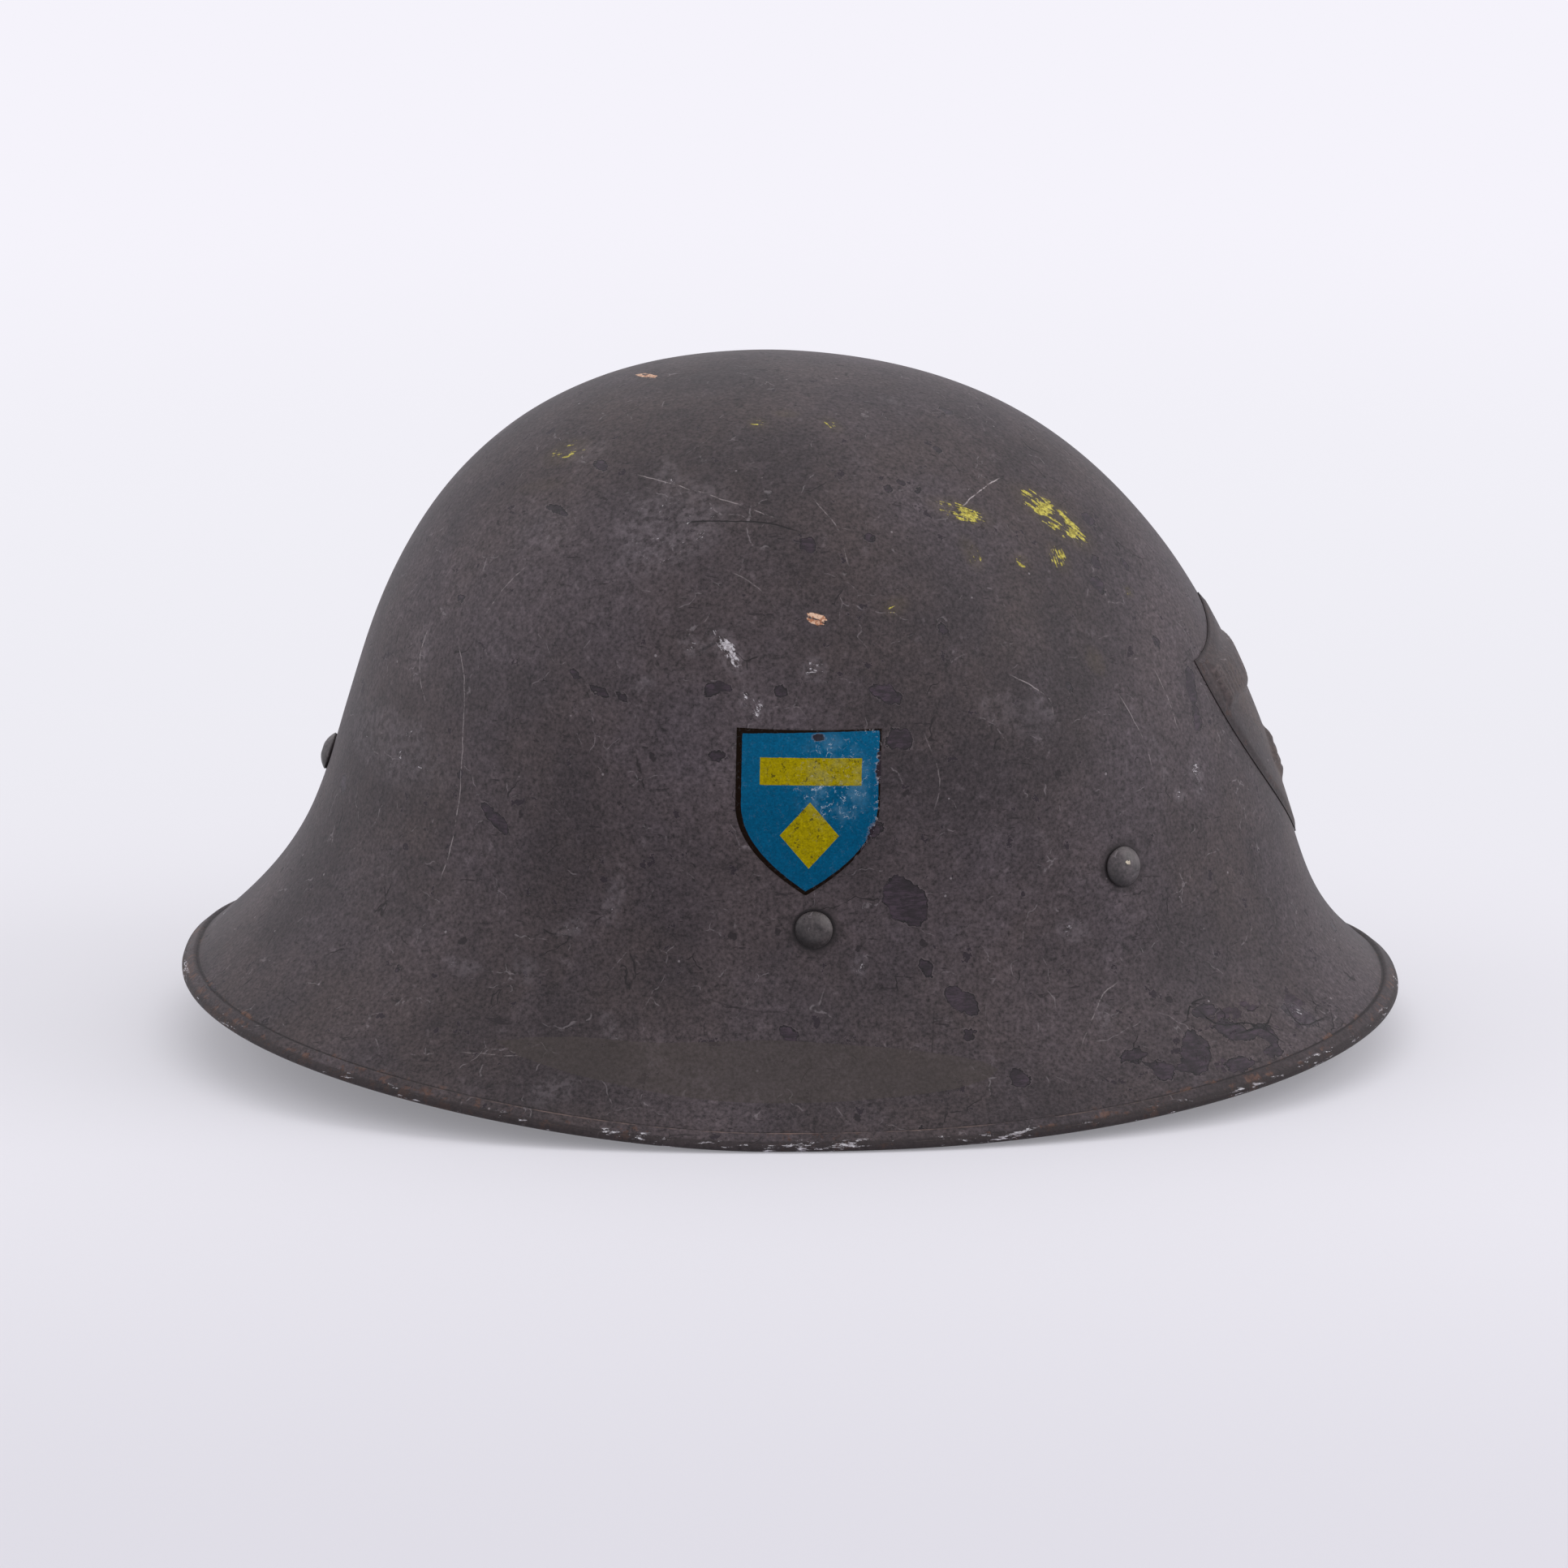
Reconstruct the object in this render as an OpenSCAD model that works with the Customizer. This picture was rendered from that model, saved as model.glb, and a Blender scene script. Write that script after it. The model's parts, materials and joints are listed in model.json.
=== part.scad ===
// Bell-shaped steel helmet with a folded brim edge, a plate on its front,
// a leather liner with three stuffed pads, and a chinstrap in two halves.
// Millimetres. +X is the wearer's front, +Y the wearer's left, +Z is up.
// The helmet stands on its brim. The origin is on the table, under the
// middle of the brim's length and width.

/* [Steel shell] */
// Height of the crown above the table
shell_h = 174.1; // [160:0.1:190]
// From the crown's top forward to the edge of the brim
front_reach = 163.2; // [150:0.1:180]
// From the crown's top back to the edge of the brim
rear_reach = 151.7; // [140:0.1:165]
// Half of the width across the brim
brim_half_w = 125; // [118:0.1:135]
// Rise of the brim's front edge above the table
front_rise = 11.8; // [6:0.1:20]
// Rise of the brim's rear edge above the table
rear_rise = 17.5; // [8:0.1:25]
// Thickness of the steel sheet
sheet_t = 1.2; // [0.9:0.1:1.6]
// Width of the edge that is folded up onto the brim
hem_w = 4; // [3:0.5:9]

/* [Bowl] */
// From the crown's top to the front wall, where the wall turns into the brim
bowl_front = 135.7; // [128:0.1:140]
// From the crown's top to the rear wall, where the wall turns into the brim
bowl_rear = 104.1; // [98:0.1:110]
// From the crown's top to the side wall, where the wall turns into the brim
bowl_half_w = 98.6; // [94:0.1:103]
// Height at which the front wall turns into the brim
turn_front_z = 51.9; // [47:0.1:57]
// Height at which the side wall turns into the brim
turn_side_z = 94.3; // [89:0.1:99]
// Height at which the rear wall turns into the brim
turn_rear_z = 99.1; // [94:0.1:104]
// Slope of the front wall there, in degrees off upright
wall_front_deg = 17.3; // [12:0.1:24]
// Slope of the side wall there
wall_side_deg = 2.6; // [0:0.1:8]
// Slope of the rear wall there
wall_rear_deg = 18.2; // [13:0.1:23]
// Slope of the brim at its edge, in degrees off upright
brim_deg = 51.1; // [45:0.1:60]

/* [Front plate] */
// Half of the plate's width at its upper corners, straight across
plate_half_w = 36.2; // [29:0.1:43]
// Height of the plate's upper corners
plate_corner_z = 102.3; // [95:0.1:108]
// Rise of the plate's top edge, from its corners to its middle
plate_peak = 10.5; // [0:0.5:16]
// Height of the plate's tip
plate_tip_z = 49.4; // [42:0.1:56]
// Thickness of the plate
plate_t = 0.8; // [0.6:0.1:1.5]
// Height of the raised figures on the plate
relief_h = 1.2; // [0.6:0.1:2.2]
// Height of the raised bar, up the plate
bar_h = 12; // [6:0.5:16]
// From the plate's upper corners down to the middle of the raised bar
bar_drop = 7.5; // [7:0.5:12]
// Half of the raised lozenge's width
lozenge_half_w = 9.5; // [6:0.5:13]
// Height of the raised lozenge, up the plate
lozenge_h = 15; // [10:0.5:20]

/* [Fasteners] */
// Angle of the two front liner pins from straight ahead
front_pin_deg = 41.7; // [38:0.1:45]
// Height of the two front liner pins
front_pin_z = 59.3; // [54:0.1:64]
// Height of the rear liner pin
rear_pin_z = 70.9; // [66:0.1:76]
// Diameter of a liner pin's domed head
pin_head_d = 9.8; // [8:0.1:12]
// Height of a liner pin's domed head
pin_head_h = 2.4; // [1.5:0.1:3.5]
// Diameter of a liner pin's shank
pin_d = 4; // [3:0.1:5]
// Length of each bent leg of a liner pin
pin_leg = 9; // [6:0.5:11]
// Angle of the side rivets from straight ahead
side_rivet_deg = 83.3; // [78:0.1:88]
// Height of the side rivets
side_rivet_z = 48.1; // [44:0.1:50]
// Diameter of a side rivet's head
side_head_d = 9.2; // [7:0.1:11]
// Height of a side rivet's head
side_head_h = 2.2; // [1.4:0.1:3]
// Diameter of a side rivet's shank
side_rivet_d = 4; // [3:0.1:5]
// Diameter of the washers
washer_d = 9; // [8:0.1:10]
// Thickness of the washers
washer_t = 0.8; // [0.5:0.1:1.2]

/* [Liner] */
// Gap between the shell and the liner band
band_gap = 2.2; // [2:0.1:4]
// Thickness of the leather liner band
band_t = 2; // [1.5:0.1:3]
// Reach of the band below its pins
band_below = 9; // [7:0.5:10]
// Reach of the band above its pins
band_above = 13; // [9:0.5:18]
// Thickness of the pads' leather
pad_t = 1.8; // [1.2:0.1:2.5]
// Height of the pads, from the stitched foot to the finger tips
pad_h = 62; // [52:1:70]
// Thickness of the stuffing cushions behind the leather
cushion_t = 8.4; // [6:0.2:10]
// Half of the angle that the front pad covers
front_pad_deg = 33; // [26:0.5:34]
// Angle of each side pad's middle from straight ahead
side_pad_mid_deg = 112; // [108:1:116]
// Half of the angle that a side pad covers
side_pad_deg = 48; // [40:0.5:50]

/* [Chinstrap] */
// Width of the strap
strap_w = 13; // [11:0.5:14]
// Thickness of the strap's leather
strap_t = 2; // [1.5:0.1:2.4]
// Diameter of the wire of the strap loops and the buckle
wire_d = 2.5; // [2:0.1:3]
// Inner width of the two strap loops
loop_in_w = 17; // [16:0.5:20]
// From bar to bar of a strap loop, centre to centre
loop_drop = 16; // [14:0.5:18]
// Width of a strap hanger
hanger_w = 11; // [8:0.5:13]
// Thickness of a strap hanger's plate
hanger_t = 1.2; // [0.8:0.1:1.6]
// From the side rivet down to the hanger's eye
hanger_drop = 11; // [9.5:0.5:13]
// From the strap loop to the buckle's bar along the table
short_run = 112; // [100:1:116]
// From the strap loop to the tip of the long half along the table
long_run = 150; // [130:1:154]
// Sideways drift of each half, so that the two lie side by side
strap_drift = 10.5; // [9.5:0.5:12]
// Length of the ends that are folded back and riveted
fold_len = 24; // [20:1:28]
// Inner width of the buckle
buckle_in_w = 15; // [14.5:0.5:17]
// From bar to bar of the buckle, centre to centre
buckle_l = 15; // [13:0.5:18]
// Diameter of the buckle's prong
prong_d = 1.8; // [1.4:0.1:2.2]
// Number of punched holes in the long half
punch_n = 6; // [3:1:7]
// Distance between the punched holes
punch_pitch = 9; // [7:0.5:10]
// Diameter of the punched holes
punch_d = 3; // [2.5:0.1:3.5]
// Length of the keeper along the strap
keeper_l = 8; // [6:0.5:10]
// Thickness of the keeper's leather
keeper_t = 1.3; // [1:0.1:1.5]

/* [Hidden] */
paint = [0.23, 0.21, 0.21];
bare_steel = [0.45, 0.43, 0.41];
tan_leather = [0.48, 0.33, 0.2];
dark_leather = [0.3, 0.2, 0.13];
cotton = [0.66, 0.6, 0.5];

// The crown's top lies behind the middle of the brim
apex_x = (rear_reach - front_reach) / 2;
// Form of the crown: how full it is across, and how deep its shoulders sit
crown_full = 0.627;
crown_shoulder = 0.522;
// Share of the brim's drop over which it leaves the wall
brim_hollow = 0.446;
// Squareness of the brim's outline, where 2 is an ellipse
brim_square_front = 2.27;
brim_square_rear = 2.3;
// How late the edge rises towards the front and the rear
rise_power_front = 2.92;
rise_power_rear = 1.69;
// Columns round the shell
round_n = 72;

// Radius of an oval with its own reach in front, behind and to the sides
function oval(front, rear, side, pow_front, pow_rear, a) =
    let (ahead = cos(a) > 0)
    let (reach = ahead ? front : rear)
    let (n = ahead ? pow_front : pow_rear)
    pow(pow(abs(cos(a) / reach), n) + pow(abs(sin(a) / side), n), -1 / n);

// A value that runs from the side to the front or to the rear
function around(front, side, rear, a) = side + ((cos(a) > 0 ? front : rear) - side) * pow(cos(a), 2);

function bezier(p, t) =
    p[0] * pow(1 - t, 3) + 3 * p[1] * t * pow(1 - t, 2) + 3 * p[2] * t * t * (1 - t) + p[3] * pow(t, 3);

function unit(v) = v / norm(v);
function ease(t) = let (c = max(0, min(1, t))) c * c * (3 - 2 * c);

// Radius and height of the outer face: s runs 0 to 1 down the bowl and 1 to 2 down the brim
function profile(s, a) =
    let (turn_r = oval(bowl_front, bowl_rear, bowl_half_w, 2, 2, a))
    let (turn_z = around(turn_front_z, turn_side_z, turn_rear_z, a))
    let (slope = tan(around(wall_front_deg, wall_side_deg, wall_rear_deg, a)))
    let (edge_r = oval(front_reach - sheet_t, rear_reach - sheet_t, brim_half_w - sheet_t,
                       brim_square_front, brim_square_rear, a))
    let (edge_z = sheet_t + (cos(a) > 0 ? front_rise * pow(abs(cos(a)), rise_power_front)
                                        : rear_rise * pow(abs(cos(a)), rise_power_rear)))
    let (shoulder = crown_shoulder * (shell_h - turn_z))
    let (leave = brim_hollow * (turn_z - edge_z))
    let (land = 0.8 * leave)
    s <= 1
        ? [bezier([0, crown_full * turn_r, turn_r - shoulder * slope, turn_r], s),
           bezier([shell_h, shell_h, turn_z + shoulder, turn_z], s)]
        : [bezier([turn_r, turn_r + leave * slope, edge_r - land * tan(brim_deg), edge_r], s - 1),
           bezier([turn_z, turn_z - leave, edge_z + land, edge_z], s - 1)];

// A point of the outer face, and the directions there: down the wall, and straight out of it
function face(s, a) = let (p = profile(s, a)) [apex_x + p[0] * cos(a), p[0] * sin(a), p[1]];
function down_wall(s, a) = unit(face(s + 0.001, a) - face(s - 0.001, a));
function outward(s, a) = unit(cross(face(s + 0.001, a) - face(s - 0.001, a), face(s, a + 0.1) - face(s, a - 0.1)));
// A point at a depth inside the outer face
function skin(s, a, depth) = face(s, a) - depth * outward(s, a);

// The place s on the profile at a height, and the angle at which a height lies at a sideways distance
function s_at(z, a, low = 0, high = 2, n = 16) =
    n == 0 ? (low + high) / 2
           : profile((low + high) / 2, a)[1] > z ? s_at(z, a, (low + high) / 2, high, n - 1)
                                                 : s_at(z, a, low, (low + high) / 2, n - 1);
function angle_at(y, z, a = 0, n = 6) = n == 0 ? a : angle_at(y, z, asin(y / profile(s_at(z, a), a)[0]), n - 1);

// Closed solids between two grids, and along a row of rings
function triangles(a, b, c, d) = [[a, b, c], [a, c, d]];

module slab(outer, inner) {
    rows = len(outer);
    cols = len(outer[0]);
    half = rows * cols;
    at = function(side, i, j) side * half + i * cols + j;
    polyhedron(
        points = [for (grid = [outer, inner]) for (row = grid) for (p = row) p],
        faces = [
            for (i = [0:rows - 2]) for (j = [0:cols - 2])
                for (t = triangles(at(0, i, j), at(0, i, j + 1), at(0, i + 1, j + 1), at(0, i + 1, j))) t,
            for (i = [0:rows - 2]) for (j = [0:cols - 2])
                for (t = triangles(at(1, i, j), at(1, i + 1, j), at(1, i + 1, j + 1), at(1, i, j + 1))) t,
            for (j = [0:cols - 2])
                for (t = triangles(at(0, 0, j + 1), at(0, 0, j), at(1, 0, j), at(1, 0, j + 1))) t,
            for (j = [0:cols - 2])
                for (t = triangles(at(0, rows - 1, j), at(0, rows - 1, j + 1),
                                   at(1, rows - 1, j + 1), at(1, rows - 1, j))) t,
            for (i = [0:rows - 2])
                for (t = triangles(at(0, i, 0), at(0, i + 1, 0), at(1, i + 1, 0), at(1, i, 0))) t,
            for (i = [0:rows - 2])
                for (t = triangles(at(0, i + 1, cols - 1), at(0, i, cols - 1),
                                   at(1, i, cols - 1), at(1, i + 1, cols - 1))) t
        ]
    );
}

module sweep(rings, closed = false) {
    n = len(rings);
    k = len(rings[0]);
    last = closed ? n - 1 : n - 2;
    polyhedron(
        points = [for (ring = rings) for (p = ring) p],
        faces = [
            for (i = [0:last]) for (j = [0:k - 1])
                for (t = triangles(i * k + j, i * k + (j + 1) % k,
                                   ((i + 1) % n) * k + (j + 1) % k, ((i + 1) % n) * k + j)) t,
            if (!closed) [for (j = [k - 1:-1:0]) j],
            if (!closed) [for (j = [0:k - 1]) (n - 1) * k + j]
        ]
    );
}

// Stands a part on a point, with its own +Z along a direction and its own +X level
module along(point, direction) {
    z = unit(direction);
    x = unit(cross(z, [0, 0, 1]));
    y = cross(z, x);
    multmatrix([
        [x[0], y[0], z[0], point[0]],
        [x[1], y[1], z[1], point[1]],
        [x[2], y[2], z[2], point[2]],
        [0, 0, 0, 1]
    ])
        children();
}

// Places of the fasteners
hole_play = 0.1;
bore_reach = 5;
pin_places = [[front_pin_deg, front_pin_z], [-front_pin_deg, front_pin_z], [180, rear_pin_z]];
side_s = s_at(side_rivet_z, side_rivet_deg);
side_point = face(side_s, side_rivet_deg);
head_seat = 0.28;
side_head_clear = 0.12;

// How far the side wall stands out of the side rivet's place, at a height
function wall_out(z) = face(s_at(z, side_rivet_deg), side_rivet_deg)[1] - side_point[1];
side_head_seat = side_head_clear
    + max(0, wall_out(side_rivet_z - side_head_d / 2), wall_out(side_rivet_z + side_head_d / 2));

module at_pins() {
    for (p = pin_places)
        along(face(s_at(p[1], p[0]), p[0]), -outward(s_at(p[1], p[0]), p[0]))
            children();
}

module at_side_rivets() {
    for (side = [-1, 1])
        along([side_point[0], side * side_point[1], side_rivet_z], [0, -side, 0])
            children();
}

// Half outline of a low dome, from its rim to its top, for a revolve
function dome_arc(d, h, n = 8) =
    let (r = (d * d / 4 + h * h) / (2 * h))
    let (rim = asin(min(1, d / 2 / r)))
    [for (i = [0:n]) let (a = rim * (1 - i / n)) [r * sin(a), -(r * cos(a) - r + h)]];

// Shell: one pressed sheet, its edge folded up and outward onto the brim
function hem_s(a) =
    let (step = norm(face(2, a) - face(1.99, a)) / 0.01)
    2 - hem_w / step;

bowl_rows = 13;
brim_rows = 8;
// Share of the folded edge's width over which its cut rim rises
hem_round = 0.12;
fold_deg = [brim_deg / 2, brim_deg, brim_deg + 45, brim_deg + 90, brim_deg / 2 + 135];

function sheet_rows(a) =
    let (hem = hem_s(a))
    [for (i = [1:bowl_rows]) i / bowl_rows, for (i = [1:brim_rows]) 1 + (hem - 1) * i / brim_rows];

function shell_column(a) =
    let (rows = sheet_rows(a))
    let (hem = hem_s(a))
    let (hem_top = hem + hem_round * (2 - hem))
    let (edge = face(2, a))
    let (out = outward(2, a))
    let (down = down_wall(2, a))
    [
        for (s = rows) face(s, a),
        skin(hem + hem_round / 6 * (2 - hem), a, -0.7 * sheet_t),
        skin(hem_top, a, -sheet_t),
        skin((hem_top + 2) / 2, a, -sheet_t),
        edge + sheet_t * out,
        for (f = fold_deg) edge + sheet_t * (out * cos(f) + down * sin(f)),
        edge - sheet_t * out,
        for (i = [len(rows) - 1:-1:0]) skin(rows[i], a, sheet_t)
    ];

module shell_sheet() {
    columns = [for (j = [0:round_n - 1]) shell_column(j * 360 / round_n)];
    m = len(columns[0]);
    top = m * round_n;
    polyhedron(
        points = [
            for (i = [0:m - 1]) for (j = [0:round_n - 1]) columns[j][i],
            [apex_x, 0, shell_h],
            [apex_x, 0, shell_h - sheet_t]
        ],
        faces = [
            for (i = [0:m - 2]) for (j = [0:round_n - 1])
                for (t = triangles(i * round_n + j, i * round_n + (j + 1) % round_n,
                                   (i + 1) * round_n + (j + 1) % round_n, (i + 1) * round_n + j)) t,
            for (j = [0:round_n - 1]) [top, (j + 1) % round_n, j],
            for (j = [0:round_n - 1]) [top + 1, (m - 1) * round_n + j, (m - 1) * round_n + (j + 1) % round_n]
        ]
    );
}

module shell() {
    color(paint)
    difference() {
        shell_sheet();
        at_pins()
            cylinder(h = 2 * bore_reach, r = pin_d / 2 + hole_play, center = true, $fn = 32);
        at_side_rivets()
            cylinder(h = 2 * bore_reach, r = side_rivet_d / 2 + hole_play, center = true, $fn = 32);
    }
}

// Front plate: a shield-shaped sheet that follows the shell, with a raised bar and a raised lozenge
plate_seat = 0.3;
plate_cols = 16;
plate_rows = 14;
plate_taper = 2.3;
peak_taper = 1.4;
tip_blunt = 0.4;
bar_z = plate_corner_z - bar_drop;
bar_inset = 3.5;
lozenge_z = plate_corner_z - 0.605 * (plate_corner_z - plate_tip_z);
lozenge_blunt = 0.6;

function plate_half(z) =
    plate_half_w * (1 - pow(max(0, (plate_corner_z - z) / (plate_corner_z - plate_tip_z)), plate_taper));
function plate_top(share) = plate_corner_z + plate_peak * pow(1 - abs(share), peak_taper);

// A point of the plate: sideways distance, height, and how far it stands off the shell
function on_front(y, z, off) =
    let (a = angle_at(y, z))
    skin(s_at(z, a), a, -off);

// Height of a row of the plate, and of a place on it: v runs 0 at the top edge to 1 at the tip
function plate_row_z(v) = plate_corner_z - (plate_corner_z - plate_tip_z - tip_blunt) * v;
function plate_z(share, v) =
    plate_row_z(v) + (plate_top(share) - plate_corner_z) * pow(1 - v, 3);

function plate_grid(off) = [
    for (i = [0:plate_rows])
        [for (j = [0:plate_cols])
            let (share = sin(90 * (2 * j / plate_cols - 1)))
            let (v = i / plate_rows)
            let (z = plate_z(share, v))
            on_front(plate_half(plate_row_z(v)) * share, z, off)]
];

// A raised figure: half width as a function of its own height share, from 0 at its top to 1
module raised(mid_z, tall, half_at, rows, cols) {
    grid = function(off) [
        for (i = [0:rows])
            [for (j = [0:cols])
                let (z = mid_z + tall * (0.5 - i / rows))
                on_front(half_at(i / rows, z) * (2 * j / cols - 1), z, off)]
    ];
    slab(grid(plate_seat + plate_t + relief_h), grid(plate_seat + plate_t / 2));
}

module front_plate() {
    color(paint)
    union() {
        slab(plate_grid(plate_seat + plate_t), plate_grid(plate_seat));
        raised(bar_z, bar_h, function(v, z) plate_half(z) - bar_inset, 2, 12);
        raised(lozenge_z, lozenge_h, function(v, z) lozenge_blunt + lozenge_half_w * (1 - abs(2 * v - 1)), 4, 4);
    }
}

// Liner pins: domed head, round shank through shell and band, two legs bent flat on a washer
band_depth = sheet_t + band_gap;
band_inner = band_depth + band_t;
washer_play = 0.05;
washer_clear = 0.3;

// Depth of the band's inner face under the rim of a pin's washer, measured along the pin
function band_depth_at(p) =
    let (s = s_at(p[1], p[0]))
    let (middle = face(s, p[0]))
    let (turn = asin(washer_d / 2 / profile(s, p[0])[0]))
    max([
        for (side = [-turn, 0, turn]) for (rise = [-washer_d / 2, washer_d / 2])
            let (ring = band_ring(p[0] + side))
            let (share = (band_below + rise) / (band_below + band_above))
            (middle - ring[0] - (ring[3] - ring[0]) * share) * outward(s, p[0])
    ]);
pin_washer_at = max([for (p = pin_places) band_depth_at(p)]) + washer_clear;
pin_leg_at = pin_washer_at + washer_t + washer_play;
leg_t = 1.1;
leg_w = pin_d * 0.85;
split_w = 0.6;

module pin_leg_plate() {
    translate([pin_d / 4, -leg_w / 2, pin_leg_at])
        cube([pin_leg - leg_w / 2 - pin_d / 4, leg_w, leg_t]);
    translate([pin_leg - leg_w / 2, 0, pin_leg_at])
        cylinder(h = leg_t, d = leg_w, $fn = 24);
}

module liner_pins() {
    color(paint)
    at_pins()
        difference() {
            union() {
                rotate_extrude($fn = 32)
                    polygon(concat(
                        [for (p = dome_arc(pin_head_d, pin_head_h)) [p[0], p[1] - head_seat]],
                        [[0, pin_leg_at + leg_t], [pin_d / 2, pin_leg_at + leg_t], [pin_d / 2, -head_seat]]
                    ));
                for (turn = [0, 180])
                    rotate([0, 0, turn])
                        pin_leg_plate();
            }
            translate([-split_w / 2, -pin_d, pin_leg_at - 2])
                cube([split_w, 2 * pin_d, leg_t + 4]);
        }
}

module washer(hole_d, at) {
    translate([0, 0, at])
        difference() {
            cylinder(h = washer_t, d = washer_d, $fn = 32);
            translate([0, 0, -1])
                cylinder(h = washer_t + 2, r = hole_d / 2 + hole_play, $fn = 32);
        }
}

module liner_pin_washers() {
    color(bare_steel)
    at_pins()
        washer(pin_d, pin_washer_at);
}

// Strap hangers: a plate under each side rivet, rolled into an eye at its lower end
hanger_seat = 0.35;
hanger_clear = 0.2;
hanger_top = 5.6;
hanger_at = sheet_t + max(hanger_seat, hanger_clear - wall_out(side_rivet_z + hanger_top));
eye_r = wire_d / 2 + hole_play;
eye_depth = hanger_at + hanger_t + eye_r;
eye_y = side_point[1] - eye_depth;
eye_z = side_rivet_z - hanger_drop;
hook_x = side_point[0];
side_washer_at = hanger_at + hanger_t + washer_play;
side_tail_at = side_washer_at + washer_t + washer_play;
side_tail_h = 1.3;
side_tail_d = 6.4;

module side_rivets() {
    color(paint)
    at_side_rivets()
        rotate_extrude($fn = 32)
            polygon(concat(
                [for (p = dome_arc(side_head_d, side_head_h)) [p[0], p[1] - side_head_seat]],
                [[0, side_tail_at + side_tail_h], [side_tail_d / 3, side_tail_at + side_tail_h],
                 [side_tail_d / 2, side_tail_at], [side_rivet_d / 2, side_tail_at],
                 [side_rivet_d / 2, -side_head_seat]]
            ));
}

module side_rivet_washers() {
    color(bare_steel)
    at_side_rivets()
        washer(side_rivet_d, side_washer_at);
}

// The right hanger, on the -Y side, drawn with its plate in the XZ plane
module hanger() {
    plate_y = -(side_point[1] - hanger_at - hanger_t);
    difference() {
        union() {
            translate([hook_x, plate_y, 0])
                rotate([90, 0, 0])
                    linear_extrude(hanger_t) {
                        translate([-hanger_w / 2, eye_z])
                            square([hanger_w, hanger_drop]);
                        translate([0, side_rivet_z])
                            intersection() {
                                circle(r = hanger_top, $fn = 48);
                                square([hanger_w, 2 * hanger_top], center = true);
                            }
                    }
            translate([hook_x - hanger_w / 2, -eye_y, eye_z])
                rotate([0, 90, 0])
                    cylinder(h = hanger_w, r = eye_r + hanger_t, $fn = 40);
        }
        translate([hook_x - hanger_w, -eye_y, eye_z])
            rotate([0, 90, 0])
                cylinder(h = 2 * hanger_w, r = eye_r, $fn = 40);
        translate([hook_x, plate_y, side_rivet_z])
            rotate([90, 0, 0])
                cylinder(h = 2 * bore_reach, r = side_rivet_d / 2 + hole_play, center = true, $fn = 32);
    }
}

module hanger_right() {
    color(bare_steel)
    hanger();
}

module hanger_left() {
    color(bare_steel)
    mirror([0, 1, 0])
        hanger();
}

// A closed rectangle of wire, in the XY plane, its upper bar on the X axis and its lower bar at -drop
module wire_loop(in_w, drop, corner) {
    r = wire_d / 2;
    half = in_w / 2 + r;
    for (y = [0, -drop])
        translate([-(half - corner), y, 0])
            rotate([0, 90, 0])
                cylinder(h = 2 * (half - corner), r = r, $fn = 24);
    for (x = [-half, half])
        translate([x, -corner, 0])
            rotate([90, 0, 0])
                cylinder(h = drop - 2 * corner, r = r, $fn = 24);
    for (turn = [[half - corner, -corner, 0], [-(half - corner), -corner, 90],
                 [-(half - corner), corner - drop, 180], [half - corner, corner - drop, 270]])
        translate([turn[0], turn[1], 0])
            rotate([0, 0, turn[2]])
                rotate_extrude(angle = 90, $fn = 40)
                    translate([corner, 0])
                        circle(r = r, $fn = 24);
}

loop_corner = 2.6;

module strap_loop() {
    translate([hook_x, -eye_y, eye_z])
        rotate([90, 0, 0])
            wire_loop(loop_in_w, loop_drop, loop_corner);
}

module strap_loop_right() {
    color(bare_steel)
    strap_loop();
}

module strap_loop_left() {
    color(bare_steel)
    mirror([0, 1, 0])
        strap_loop();
}

// Liner band: a leather hoop that hangs on the three pins, higher at the rear
function band_z(a) =
    front_pin_z + (rear_pin_z - front_pin_z) * (cos(front_pin_deg) - cos(a)) / (cos(front_pin_deg) + 1);

function band_ring(a) =
    let (low = s_at(band_z(a) - band_below, a))
    let (high = s_at(band_z(a) + band_above, a))
    [skin(low, a, band_inner), skin(low, a, band_depth), skin(high, a, band_depth), skin(high, a, band_inner)];

module liner_band() {
    color(dark_leather)
    difference() {
        sweep([for (j = [0:round_n - 1]) band_ring(j * 360 / round_n)], closed = true);
        at_pins()
            translate([0, 0, band_depth])
                cylinder(h = 2 * bore_reach, r = pin_d / 2 + hole_play, center = true, $fn = 32);
    }
}

// Pads: leather with rounded fingers, stitched to the band at the foot, standing off above it
pad_foot = 7;
pad_clear = 0.3;
finger_cols = 8;
pad_rows = 7;
pad_stand = band_inner + cushion_t + 2.6;
pad_ramp = 0.3;
notch = 0.46;

function pad_z(a, v) = band_z(a) - pad_foot + pad_h * v;
// Depth of the leather's shell-side face
function pad_depth(v) =
    v < pad_ramp ? band_inner + pad_clear + (pad_stand - band_inner - pad_clear) * ease(v / pad_ramp)
                 : pad_stand - 4 * ease((v - pad_ramp) / (1 - pad_ramp));
// How high a pad reaches at a share of its width: one rounded finger after another
function finger_top(u, fingers) =
    let (f = (u * fingers) % 1)
    notch + (1 - notch) * pow(max(0, 1 - pow(2 * f - 1, 2)), 0.5);

module pad_leather(mid, half, fingers) {
    cols = fingers * finger_cols;
    grid = function(extra) [
        for (i = [0:pad_rows])
            [for (j = [0:cols])
                let (a = mid + half * (2 * j / cols - 1))
                let (v = finger_top(j / cols, fingers) * (1 - i / pad_rows))
                skin(s_at(pad_z(a, v), a), a, pad_depth(v) + extra)]
    ];
    color(tan_leather)
    slab(grid(0), grid(pad_t));
}

// Cushion: one swelling per finger, drawn in at its sides and between the fingers
cushion_low = 0.34;
cushion_high = 0.9;
cushion_rows = 7;

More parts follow.
